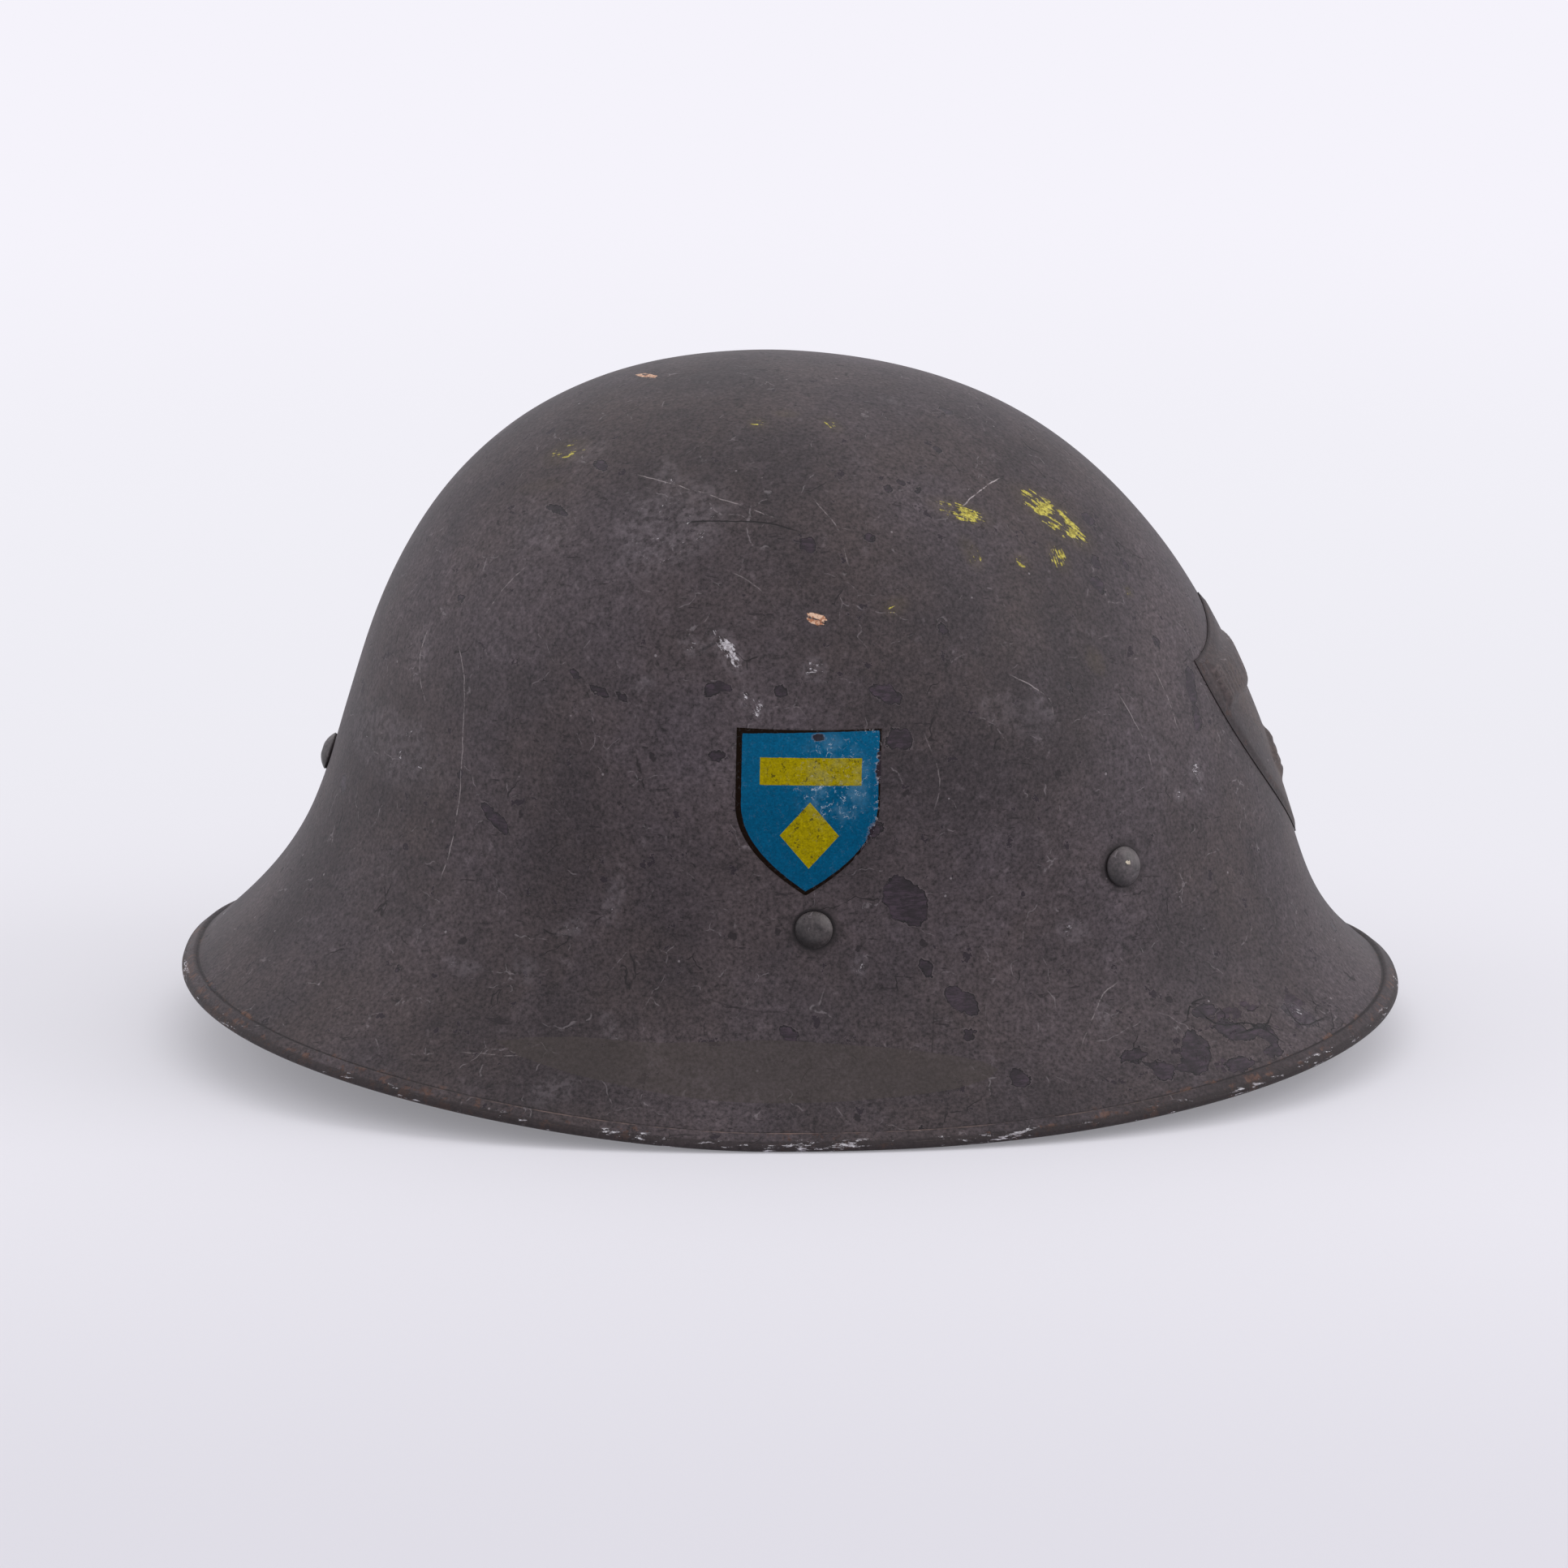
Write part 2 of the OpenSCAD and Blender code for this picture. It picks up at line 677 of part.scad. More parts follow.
function cushion_swell(u, v, fingers) =
    let (f = (u * fingers) % 1)
    let (across = pow(sin(180 * max(0.04, min(0.96, f))), 0.55))
    let (up = pow(sin(180 * max(0.05, min(0.95, v))), 0.6))
    max(0.14, across * up);

module pad_cushion(mid, half, fingers) {
    cols = fingers * finger_cols;
    grid = function(side) [
        for (i = [0:cushion_rows])
            [for (j = [0:cols])
                let (u = j / cols)
                let (a = mid + (half - 2.5) * (2 * u - 1))
                let (w = 1 - i / cushion_rows)
                let (top = min(cushion_high, finger_top(u, fingers) - 0.05))
                let (v = cushion_low + (top - cushion_low) * w)
                let (middle = pad_depth(v) - pad_clear - cushion_t / 2)
                skin(s_at(pad_z(a, v), a), a, middle + side * cushion_t / 2 * cushion_swell(u, w, fingers))]
    ];
    color(cotton)
    slab(grid(-1), grid(1));
}

module pad_leather_front() {
    pad_leather(0, front_pad_deg, 2);
}

module pad_leather_left() {
    pad_leather(side_pad_mid_deg, side_pad_deg, 3);
}

module pad_leather_right() {
    pad_leather(-side_pad_mid_deg, side_pad_deg, 3);
}

module pad_cushion_front() {
    pad_cushion(0, front_pad_deg, 2);
}

module pad_cushion_left() {
    pad_cushion(side_pad_mid_deg, side_pad_deg, 3);
}

module pad_cushion_right() {
    pad_cushion(-side_pad_mid_deg, side_pad_deg, 3);
}

// Chinstrap halves: each is drawn as the right one, running from its loop's lower bar towards +Y
bar_z_low = eye_z - loop_drop;
fold_play = 0.2;
fold_r = wire_d / 2 + fold_play + strap_t / 2;
layer_gap = 0.2;
table_gap = 0.3;
keeper_play = 0.25;
leave_deg = 55;
sag_r = 24;
short_z = table_gap + keeper_t + keeper_play + strap_t / 2;
long_z = table_gap + strap_t / 2;
drift_from = 8;
drift_to = 70;
rivet_back = 15.5;
fold_spread = 9;
ring_step = 3;

// Centre line of the sloping and the lying stretch: run and height, and slope in degrees
function lay_straight(run_z) =
    (bar_z_low - fold_r * cos(leave_deg) - run_z - sag_r * (1 - cos(leave_deg))) / sin(leave_deg);
function lay_arc() = sag_r * leave_deg * PI / 180;
function lay(w, run_z) =
    let (start = [-fold_r * sin(leave_deg), bar_z_low - fold_r * cos(leave_deg)])
    let (straight = lay_straight(run_z))
    let (dir = [cos(leave_deg), -sin(leave_deg)])
    let (bend = min(leave_deg, max(0, (w - straight) / sag_r * 180 / PI)))
    let (turn = leave_deg - bend)
    w <= straight
        ? [start[0] + dir[0] * w, start[1] + dir[1] * w, -leave_deg]
        : let (from = start + dir * straight)
          let (flat = max(0, w - straight - lay_arc()))
          [from[0] + sag_r * (sin(leave_deg) - sin(turn)) + flat,
           from[1] - sag_r * (cos(turn) - cos(leave_deg)), -turn];
// Distance between the two layers of a folded end, from the wire outwards
function layer_step(w) = strap_t + layer_gap + (2 * fold_r - strap_t - layer_gap) * (1 - ease(w / fold_spread));

// A ring of the strap about [run, height], heading in degrees, and half width
function strap_ring(run, z, heading, half_w, drift) =
    let (t = (run - drift_from) / (drift_to - drift_from))
    let (inside = t > 0 && t < 1)
    let (yaw = inside ? atan(drift * 6 * t * (1 - t) / (drift_to - drift_from)) : 0)
    let (across = [cos(yaw), -sin(yaw), 0])
    let (ahead = [sin(yaw) * cos(heading), cos(yaw) * cos(heading), sin(heading)])
    let (up = cross(across, ahead))
    let (p = [hook_x + drift * ease(t), run - eye_y, z])
    [
        p - across * half_w - up * strap_t / 2,
        p + across * half_w - up * strap_t / 2,
        p + across * half_w + up * strap_t / 2,
        p - across * half_w + up * strap_t / 2
    ];

// The folded end at the loop: tail, then round the bar
function fold_rings(run_z, drift) = [
    for (w = [fold_len:-ring_step:ring_step])
        let (m = lay(w, run_z))
        let (off = layer_step(w))
        strap_ring(m[0] - off * sin(m[2]), m[1] + off * cos(m[2]), m[2] + 180, strap_w / 2, drift),
    for (a = [90 - leave_deg:22.5:270 - leave_deg])
        strap_ring(fold_r * cos(a), bar_z_low + fold_r * sin(a), a + 90, strap_w / 2, drift)
];

function lying_rings(run_z, to, drift) = [
    for (w = [ring_step:ring_step:lay_straight(run_z) + lay_arc()])
        let (m = lay(w, run_z))
        strap_ring(m[0], m[1], m[2], strap_w / 2, drift),
    for (run = [ceil(lay(lay_straight(run_z) + lay_arc(), run_z)[0] / 6) * 6:2 * ring_step:to])
        strap_ring(run, run_z, 0, strap_w / 2, drift)
];

// A rivet through two layers at the middle of a fold
strap_rivet_d = 2.6;
strap_head_d = 5.6;
strap_head_h = 0.9;
strap_head_edge = 0.3;
strap_head_seat = 0.2;
rivet_grip = 2 * strap_t + layer_gap;

module strap_rivet() {
    low = -strap_head_seat;
    high = rivet_grip + strap_head_seat;
    rotate_extrude($fn = 24)
        polygon([
            [0, low - strap_head_h], [strap_head_d / 4, low - strap_head_h],
            [strap_head_d / 2, low - strap_head_edge], [strap_head_d / 2, low], [strap_rivet_d / 2, low],
            [strap_rivet_d / 2, high], [strap_head_d / 2, high],
            [strap_head_d / 2, high + strap_head_edge], [strap_head_d / 4, high + strap_head_h],
            [0, high + strap_head_h]
        ]);
}

module rivet_bore() {
    translate([0, 0, rivet_grip / 2])
        cylinder(h = 2 * rivet_grip, r = strap_rivet_d / 2 + hole_play, center = true, $fn = 24);
}

// Puts a rivet or its hole on the fold at the loop, pointing from the outer layer to the inner one
module at_loop_fold(run_z, drift) {
    m = lay(rivet_back, run_z);
    translate([hook_x + drift * ease((m[0] - drift_from) / (drift_to - drift_from)), m[0] - eye_y, m[1]])
        rotate([m[2], 0, 0])
            translate([0, 0, -strap_t / 2])
                children();
}

heel_y = short_run - eye_y;
heel_z = short_z + fold_r;
short_x = hook_x + strap_drift;

module at_buckle_fold() {
    translate([short_x, heel_y - rivet_back, short_z - strap_t / 2])
        children();
}

prong_slot_w = 4;
prong_slot_back = 6.5;

module chinstrap_short() {
    buckle_fold = [
        for (a = [-90:22.5:90])
            strap_ring(short_run + fold_r * cos(a), heel_z + fold_r * sin(a), a + 90, strap_w / 2, strap_drift),
        for (w = [ring_step:ring_step:fold_len])
            strap_ring(short_run - w, short_z + layer_step(w), 180, strap_w / 2, strap_drift)
    ];
    color(dark_leather)
    difference() {
        sweep(concat(
            fold_rings(short_z, strap_drift),
            lying_rings(short_z, short_run - 3, strap_drift),
            buckle_fold
        ));
        at_loop_fold(short_z, strap_drift)
            rivet_bore();
        at_buckle_fold()
            rivet_bore();
        translate([short_x - prong_slot_w / 2, heel_y - prong_slot_back, -1])
            cube([prong_slot_w, prong_slot_back + fold_r + strap_t, heel_z + 2 * bore_reach]);
    }
}

module strap_rivets_short() {
    color(bare_steel) {
        at_loop_fold(short_z, strap_drift)
            strap_rivet();
        at_buckle_fold()
            strap_rivet();
    }
}

tip_len = 12;
punch_from = 26;
curl_from = 42;
curl_rise = 5;

module chinstrap_long() {
    curl = function(run) curl_rise * pow(max(0, (run - long_run + curl_from) / curl_from), 2);
    slope = function(run) atan(2 * curl_rise * max(0, run - long_run + curl_from) / (curl_from * curl_from));
    color(dark_leather)
    mirror([0, 1, 0])
        difference() {
            sweep(concat(
                fold_rings(long_z, -strap_drift),
                lying_rings(long_z, long_run - curl_from, -strap_drift),
                [for (run = [long_run - curl_from + 5:5:long_run - tip_len - 1])
                    strap_ring(run, long_z + curl(run), slope(run), strap_w / 2, -strap_drift)],
                [for (t = [0:0.2:0.8]) let (run = long_run - tip_len * (1 - t))
                    strap_ring(run, long_z + curl(run), slope(run), strap_w / 2 * sqrt(1 - t * t), -strap_drift)],
                [strap_ring(long_run, long_z + curl(long_run), slope(long_run), strap_w / 10, -strap_drift)]
            ));
            at_loop_fold(long_z, -strap_drift)
                rivet_bore();
            for (i = [0:punch_n - 1])
                translate([hook_x - strap_drift, long_run - punch_from - punch_pitch * i - eye_y, -1])
                    cylinder(h = 2 * bore_reach, d = punch_d, $fn = 24);
        }
}

module strap_rivet_long() {
    color(bare_steel)
    mirror([0, 1, 0])
        at_loop_fold(long_z, -strap_drift)
            strap_rivet();
}

// Buckle: a wire frame whose heel bar lies in the strap's fold, and a prong that turns on the same bar
prong_play = 0.12;
prong_eye_w = 3;
prong_eye_t = 1.2;
prong_over = 2.6;
front_bar_z = table_gap + prong_d + wire_d / 2 + 0.5;
buckle_tilt = asin((heel_z - front_bar_z) / buckle_l);
buckle_corner = 2.4;

module buckle_frame() {
    color(bare_steel)
    translate([short_x, heel_y, heel_z])
        rotate([-buckle_tilt, 0, 0])
            mirror([0, 1, 0])
                wire_loop(buckle_in_w, buckle_l, buckle_corner);
}

module buckle_prong() {
    ring_r = wire_d / 2 + prong_play;
    from = [1, -(ring_r + prong_eye_t - prong_d / 2)];
    to = [buckle_l + prong_over, table_gap + prong_d / 2 - heel_z];
    lean = atan2(to[1] - from[1], to[0] - from[0]);
    arm = norm(to - from);
    color(bare_steel)
    translate([short_x, heel_y, heel_z])
        difference() {
            union() {
                translate([-prong_eye_w / 2, 0, 0])
                    rotate([0, 90, 0])
                        cylinder(h = prong_eye_w, r = ring_r + prong_eye_t, $fn = 32);
                translate([0, from[0], from[1]])
                    rotate([lean - 90, 0, 0]) {
                        cylinder(h = arm, d = prong_d, $fn = 24);
                        translate([0, 0, arm])
                            sphere(d = prong_d, $fn = 24);
                    }
            }
            translate([-prong_eye_w, 0, 0])
                rotate([0, 90, 0])
                    cylinder(h = 2 * prong_eye_w, r = ring_r, $fn = 32);
        }
}

// Keeper: a leather band round the short half that holds the tip of the long one
keeper_run = 80;
keeper_side = 0.4;

module strap_keeper() {
    in_w = strap_w + 2 * keeper_side;
    in_h = 2 * strap_t + 3 * keeper_play;
    low = short_z - strap_t / 2 - keeper_play;
    color(dark_leather)
    translate([short_x, keeper_run - eye_y + keeper_l / 2, low])
        rotate([90, 0, 0])
            linear_extrude(keeper_l)
                difference() {
                    translate([-in_w / 2, 0])
                        offset(r = keeper_t, $fn = 16)
                            square([in_w, in_h]);
                    translate([-in_w / 2, 0])
                        square([in_w, in_h]);
                }
}

shell();
front_plate();
liner_pins();
liner_pin_washers();
side_rivets();
side_rivet_washers();
liner_band();
pad_leather_front();
pad_leather_left();
pad_leather_right();
pad_cushion_front();
pad_cushion_left();
pad_cushion_right();
hanger_right();
hanger_left();
strap_loop_right();
strap_loop_left();
chinstrap_short();
chinstrap_long();
strap_rivets_short();
strap_rivet_long();
buckle_frame();
buckle_prong();
strap_keeper();
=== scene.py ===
"""Looks of a worn steel helmet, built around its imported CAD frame.

Lengths inside the classes are millimetres in the row frame, and the meshes are written in metres.
"""

from __future__ import annotations

import json
import logging
import math
from dataclasses import dataclass
from enum import Enum
from typing import Sequence

import bmesh
import bpy
import numpy as np
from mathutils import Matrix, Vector

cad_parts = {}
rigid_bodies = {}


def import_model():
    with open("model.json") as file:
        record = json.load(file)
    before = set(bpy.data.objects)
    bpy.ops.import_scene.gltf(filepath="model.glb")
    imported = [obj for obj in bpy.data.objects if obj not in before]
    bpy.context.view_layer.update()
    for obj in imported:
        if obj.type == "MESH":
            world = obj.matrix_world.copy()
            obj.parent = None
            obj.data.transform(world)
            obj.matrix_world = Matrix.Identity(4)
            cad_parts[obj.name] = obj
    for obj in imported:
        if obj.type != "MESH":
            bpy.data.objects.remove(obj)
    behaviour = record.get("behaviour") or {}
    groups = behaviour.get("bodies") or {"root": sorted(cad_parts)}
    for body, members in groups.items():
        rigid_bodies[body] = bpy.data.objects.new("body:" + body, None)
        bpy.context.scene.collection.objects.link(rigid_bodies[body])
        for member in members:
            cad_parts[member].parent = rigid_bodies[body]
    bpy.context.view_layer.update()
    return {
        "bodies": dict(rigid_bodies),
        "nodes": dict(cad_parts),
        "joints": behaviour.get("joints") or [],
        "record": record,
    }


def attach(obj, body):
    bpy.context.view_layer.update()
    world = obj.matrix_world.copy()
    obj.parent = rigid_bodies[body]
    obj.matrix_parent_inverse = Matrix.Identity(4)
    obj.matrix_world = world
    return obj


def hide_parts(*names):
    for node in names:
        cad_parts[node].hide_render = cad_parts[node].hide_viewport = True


LOG = logging.getLogger("helmet")
MM = 0.001
Array = np.ndarray
Piece = bpy.types.Object
Material = bpy.types.Material
Colour = tuple[float, float, float, float]
Place = tuple[Array, Array, Array, Array]


def srgb(*values: float) -> Colour:
    """Linear colour of a red, a green and a blue from 0 to 255."""
    linear = [v / 255 / 12.92 if v <= 10.31 else ((v / 255 + 0.055) / 1.055) ** 2.4 for v in values]
    return (*linear, 1.0)


def ease(share: Array | float) -> Array:
    """Smooth step of a share that is first held between 0 and 1."""
    held = np.clip(share, 0.0, 1.0)
    return held * held * (3 - 2 * held)


def unit(vectors: Array) -> Array:
    """Vectors of length 1 along the last axis."""
    return vectors / np.maximum(np.linalg.norm(vectors, axis=-1, keepdims=True), 1e-12)


def edge_distance(points: Array, outline: Array) -> Array:
    """Distance from flat points to the nearest point of an outline."""
    return np.min(np.linalg.norm(points[:, None] - outline[None], axis=-1), axis=1)


def fit(piece: Piece, material: Material, node: str = "", body: str = "helmet") -> None:
    """Gives a piece its material and its place in the frame.

    Args:
        piece: The piece.
        material: Its material.
        node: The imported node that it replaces, if any.
        body: The body that it rides on.
    """
    piece.data.materials.append(material)
    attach(piece, body)
    if node:
        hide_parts(node)


# Form of the shell


@dataclass(frozen=True)
class ShellForm:
    """The shell's outer face as a formula over a place s and a turn a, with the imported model's sizes.

    s runs from 0 at the crown to 1 where the wall turns, and to 2 at the brim's edge; a is the
    angle from straight ahead, in radians.
    """

    height: float = 174.1
    front_reach: float = 163.2
    rear_reach: float = 151.7
    brim_half: float = 125.0
    front_rise: float = 11.8
    rear_rise: float = 17.5
    sheet: float = 1.2
    hem: float = 4.0
    bowl: tuple[float, float, float] = (135.7, 104.1, 98.6)
    turn_z: tuple[float, float, float] = (51.9, 99.1, 94.3)
    wall_deg: tuple[float, float, float] = (17.3, 18.2, 2.6)
    brim_deg: float = 51.1
    crown_full: float = 0.627
    crown_shoulder: float = 0.522
    brim_hollow: float = 0.446
    square: tuple[float, float] = (2.27, 2.3)
    rise_power: tuple[float, float] = (2.92, 1.69)

    @property
    def apex_x(self) -> float:
        """Place of the crown's top along X."""
        return (self.rear_reach - self.front_reach) / 2

    @staticmethod
    def _oval(reach: Sequence[float], power: tuple[float, float], a: Array) -> Array:
        """Radius of an oval.

        Args:
            reach: Its reach in front, behind and to the side.
            power: Its power in front and behind.
            a: Turns in radians.

        Returns:
            The radius at each turn.
        """
        ahead = np.cos(a) > 0
        n = np.where(ahead, power[0], power[1])
        along = np.abs(np.cos(a)) / np.where(ahead, reach[0], reach[1])
        return (along**n + (np.abs(np.sin(a)) / reach[2]) ** n) ** (-1 / n)

    @staticmethod
    def _around(values: tuple[float, float, float], a: Array) -> Array:
        """A value that runs from the side to the front or to the rear."""
        end = np.where(np.cos(a) > 0, values[0], values[1])
        return values[2] + (end - values[2]) * np.cos(a) ** 2

    @staticmethod
    def _bezier(p: Sequence[Array], t: Array) -> Array:
        """A cubic curve through four control values."""
        u = 1 - t
        return p[0] * u**3 + 3 * p[1] * t * u * u + 3 * p[2] * t * t * u + p[3] * t**3

    def profile(self, s: Array, a: Array) -> tuple[Array, Array]:
        """Radius and height of the outer face.

        Args:
            s: Places down the profile.
            a: Turns in radians.

        Returns:
            The radius from the crown's axis and the height, in millimetres.
        """
        s, a = np.broadcast_arrays(np.asarray(s, float), np.asarray(a, float))
        turn_r, turn_z = self._oval(self.bowl, (2, 2), a), self._around(self.turn_z, a)
        slope = np.tan(np.radians(self._around(self.wall_deg, a)))
        reach = (self.front_reach - self.sheet, self.rear_reach - self.sheet, self.brim_half - self.sheet)
        edge_r = self._oval(reach, self.square, a)
        ahead, cosine = np.cos(a) > 0, np.abs(np.cos(a))
        rise = np.where(ahead, self.front_rise * cosine ** self.rise_power[0],
                        self.rear_rise * cosine ** self.rise_power[1])
        edge_z = self.sheet + rise
        shoulder = self.crown_shoulder * (self.height - turn_z)
        leave = self.brim_hollow * (turn_z - edge_z)
        land = 0.8 * leave
        top = np.full_like(turn_r, self.height)
        bowl_r = self._bezier((0 * turn_r, self.crown_full * turn_r, turn_r - shoulder * slope, turn_r), s)
        bowl_z = self._bezier((top, top, turn_z + shoulder, turn_z), s)
        run = edge_r - land * math.tan(math.radians(self.brim_deg))
        brim_r = self._bezier((turn_r, turn_r + leave * slope, run, edge_r), s - 1)
        brim_z = self._bezier((turn_z, turn_z - leave, edge_z + land, edge_z), s - 1)
        return np.where(s <= 1, bowl_r, brim_r), np.where(s <= 1, bowl_z, brim_z)

    def face(self, s: Array, a: Array) -> Array:
        """Points of the outer face."""
        r, z = self.profile(s, a)
        return np.stack([self.apex_x + r * np.cos(a), r * np.sin(a), z], axis=-1)

    def outward(self, s: Array, a: Array) -> Array:
        """Directions straight out of the outer face.

        Args:
            s: Places down the profile.
            a: Turns in radians.

        Returns:
            A direction of length 1 for each place.
        """
        s, a = np.broadcast_arrays(np.maximum(s, 0.004), np.asarray(a, float))
        down = self.face(s + 1e-3, a) - self.face(s - 1e-3, a)
        return unit(np.cross(down, self.face(s, a + 1e-3) - self.face(s, a - 1e-3)))

    def skin(self, s: Array, a: Array, depth: Array | float) -> Array:
        """Points at a depth inside the outer face."""
        return self.face(s, a) - np.asarray(depth)[..., None] * self.outward(s, a)

    def s_at(self, z: Array, a: Array) -> Array:
        """Places on the profile at a height, by halving.

        Args:
            z: Heights in millimetres.
            a: Turns in radians.

        Returns:
            The place s of each height.
        """
        z, a = np.broadcast_arrays(np.asarray(z, float), np.asarray(a, float))
        low, high = np.zeros_like(z), np.full_like(z, 2.0)
        for _ in range(34):
            middle = (low + high) / 2
            above = self.profile(middle, a)[1] > z
            low, high = np.where(above, middle, low), np.where(above, high, middle)
        return (low + high) / 2

    def spot(self, turn: float, height: float) -> tuple[float, float]:
        """Place s and turn in radians of a spot given by its turn in degrees and its height."""
        a = math.radians(turn)
        return float(self.s_at(height, a)), a

    def hem_s(self, a: Array) -> Array:
        """Place at which the folded edge begins."""
        step = np.linalg.norm(self.face(2.0, a) - self.face(1.99, a), axis=-1) / 0.01
        return 2 - self.hem / step

    def turn_at_y(self, y: Array, z: Array) -> Array:
        """Turns at which a height lies at a sideways distance, on the front.

        Args:
            y: Distances sideways, in millimetres.
            z: Heights in millimetres.

        Returns:
            The turns in radians.
        """
        a = np.zeros_like(y)
        for _ in range(12):
            a = np.arcsin(np.clip(y / self.profile(self.s_at(z, a), a)[0], -1, 1))
        return a

    def turn_at_x(self, x: Array, z: Array) -> Array:
        """Turns at which a height lies at a distance along X, on the wearer's right.

        Args:
            x: Distances along X, in millimetres.
            z: Heights in millimetres.

        Returns:
            The turns in radians.
        """
        a = np.full_like(x, -math.pi / 2)
        for _ in range(14):
            a = -np.arccos(np.clip((x - self.apex_x) / self.profile(self.s_at(z, a), a)[0], -1, 1))
        return a


FORM = ShellForm()

# Turn in degrees and height of each head: the three liner pins, then the two side rivets
HEADS = ((41.7, 59.3), (-41.7, 59.3), (180.0, 70.9), (83.3, 48.1), (-83.3, 48.1))


# Meshes


class MeshKit:
    """Makes mesh objects from arrays."""

    @staticmethod
    def grid_faces(rows: int, cols: int, start: int = 0, closed: bool = False,
                   flip: bool = False) -> list[tuple[int, ...]]:
        """Quads between the rows of a grid.

        Args:
            rows: Number of rows of points.
            cols: Number of points in a row.
            start: Index of the grid's first point.
            closed: Whether the last column meets the first one.
            flip: Whether the faces look the other way.

        Returns:
            The faces as tuples of point indices.
        """
        i, j = np.meshgrid(np.arange(rows - 1), np.arange(cols if closed else cols - 1), indexing="ij")
        here, right = i * cols + j, i * cols + (j + 1) % cols
        quads = np.stack([here, here + cols, right + cols, right], axis=-1).reshape(-1, 4) + start
        return [tuple(quad) for quad in (quads[:, ::-1] if flip else quads).tolist()]

    @staticmethod
    def build(name: str, points: Array, faces: list[tuple[int, ...]], smooth: bool = True) -> Piece:
        """Makes an object from points in millimetres.

        Args:
            name: Name of the piece.
            points: Points of the mesh, one per row.
            faces: Faces as tuples of point indices.
            smooth: Whether the faces are shaded smoothly.

        Returns:
            The new object, linked to the scene.
        """
        mesh = bpy.data.meshes.new(name)
        mesh.from_pydata((np.asarray(points, float).reshape(-1, 3) * MM).tolist(), [], faces)
        mesh.validate()
        mesh.polygons.foreach_set("use_smooth", [smooth] * len(mesh.polygons))
        piece = bpy.data.objects.new(name, mesh)
        bpy.context.scene.collection.objects.link(piece)
        return piece

    @staticmethod
    def write(piece: Piece, name: str, values: Array) -> None:
        """Stores a number or a vector on each point of a piece.

        Args:
            piece: The piece.
            name: Name of the attribute.
            values: The numbers, or the vectors as rows.
        """
        values = np.asarray(values, np.float32)
        vector = values.ndim == 2
        attribute = piece.data.attributes.new(name, "FLOAT_VECTOR" if vector else "FLOAT", "POINT")
        attribute.data.foreach_set("vector" if vector else "value", values.ravel())

    @staticmethod
    def slab(name: str, outer: Array, inner: Array) -> Piece:
        """A closed sheet between two grids of points.

        Args:
            name: Name of the piece.
            outer: Points of the side that its faces look to.
            inner: Points of the other side.

        Returns:
            The new object.
        """
        rows, cols = outer.shape[:2]
        half = rows * cols
        last = half - cols
        faces = MeshKit.grid_faces(rows, cols) + MeshKit.grid_faces(rows, cols, half, flip=True)
        rim = [*range(cols), *range(2 * cols - 1, half, cols)]
        rim += [*range(half - 2, last - 1, -1), *range(last - cols, 0, -cols)]
        for first, second in zip(rim, rim[1:] + rim[:1]):
            faces.append((second + half, first + half, first, second))
        piece = MeshKit.build(name, np.concatenate([outer.reshape(-1, 3), inner.reshape(-1, 3)]), faces)
        MeshKit.outside(piece)
        return piece

    @staticmethod
    def tube(name: str, rings: Array, closed: bool = False) -> Piece:
        """A closed solid along a row of rings of points.

        Args:
            name: Name of the piece.
            rings: The rings' points.
            closed: Whether the last ring meets the first one.

        Returns:
            The new object.
        """
        n, k = rings.shape[:2]
        last = (n - 1) * k
        faces = MeshKit.grid_faces(n, k, closed=True)
        if closed:
            faces += [(last + j, j, (j + 1) % k, last + (j + 1) % k) for j in range(k)]
        else:
            faces += [tuple(range(k)), tuple(range(last + k - 1, last - 1, -1))]
        piece = MeshKit.build(name, rings, faces)
        MeshKit.outside(piece)
        return piece

    @staticmethod
    def outside(piece: Piece) -> None:
        """Turns every face of a closed piece to the outside.

        Args:
            piece: The piece.
        """
        work = bmesh.new()
        work.from_mesh(piece.data)
        bmesh.ops.recalc_face_normals(work, faces=work.faces)
        work.to_mesh(piece.data)
        work.free()

    @staticmethod
    def joined(name: str, pieces: list[Piece]) -> Piece:
        """One object from several.

        Args:
            name: Name of the result.
            pieces: The objects, of which the first one is kept.

        Returns:
            The first object, with the others' meshes in it.
        """
        for piece in bpy.context.view_layer.objects:
            piece.select_set(piece in pieces)
        bpy.context.view_layer.objects.active = pieces[0]
        if len(pieces) > 1:
            bpy.ops.object.join()
        pieces[0].name = pieces[0].data.name = name
        return pieces[0]

    @staticmethod
    def cut(piece: Piece, tools: list[Piece]) -> None:
        """Takes the tools' space out of a piece, and deletes the tools.

        Args:
            piece: The piece.
            tools: Closed objects.
        """
        tool = MeshKit.joined("cutter", tools)
        modifier = piece.modifiers.new("cut", "BOOLEAN")
        modifier.operation, modifier.solver, modifier.object = "DIFFERENCE", "EXACT", tool
        bpy.context.view_layer.objects.active = piece
        bpy.ops.object.modifier_apply(modifier=modifier.name)
        piece.data.set_sharp_from_angle(angle=math.radians(50))
        bpy.data.objects.remove(tool)

    @staticmethod
    def frame_along(point: Array, direction: Array) -> Place:
        """Origin and axes of a part that stands on a point.

        Args:
            point: The point.
            direction: Direction of its Z axis; its X axis is level.

        Returns:
            The origin and the three axes.
        """
        z = unit(np.asarray(direction, float))
        x = unit(np.cross(z, [0, 0, 1]))
        return np.asarray(point, float), x, np.cross(z, x), z

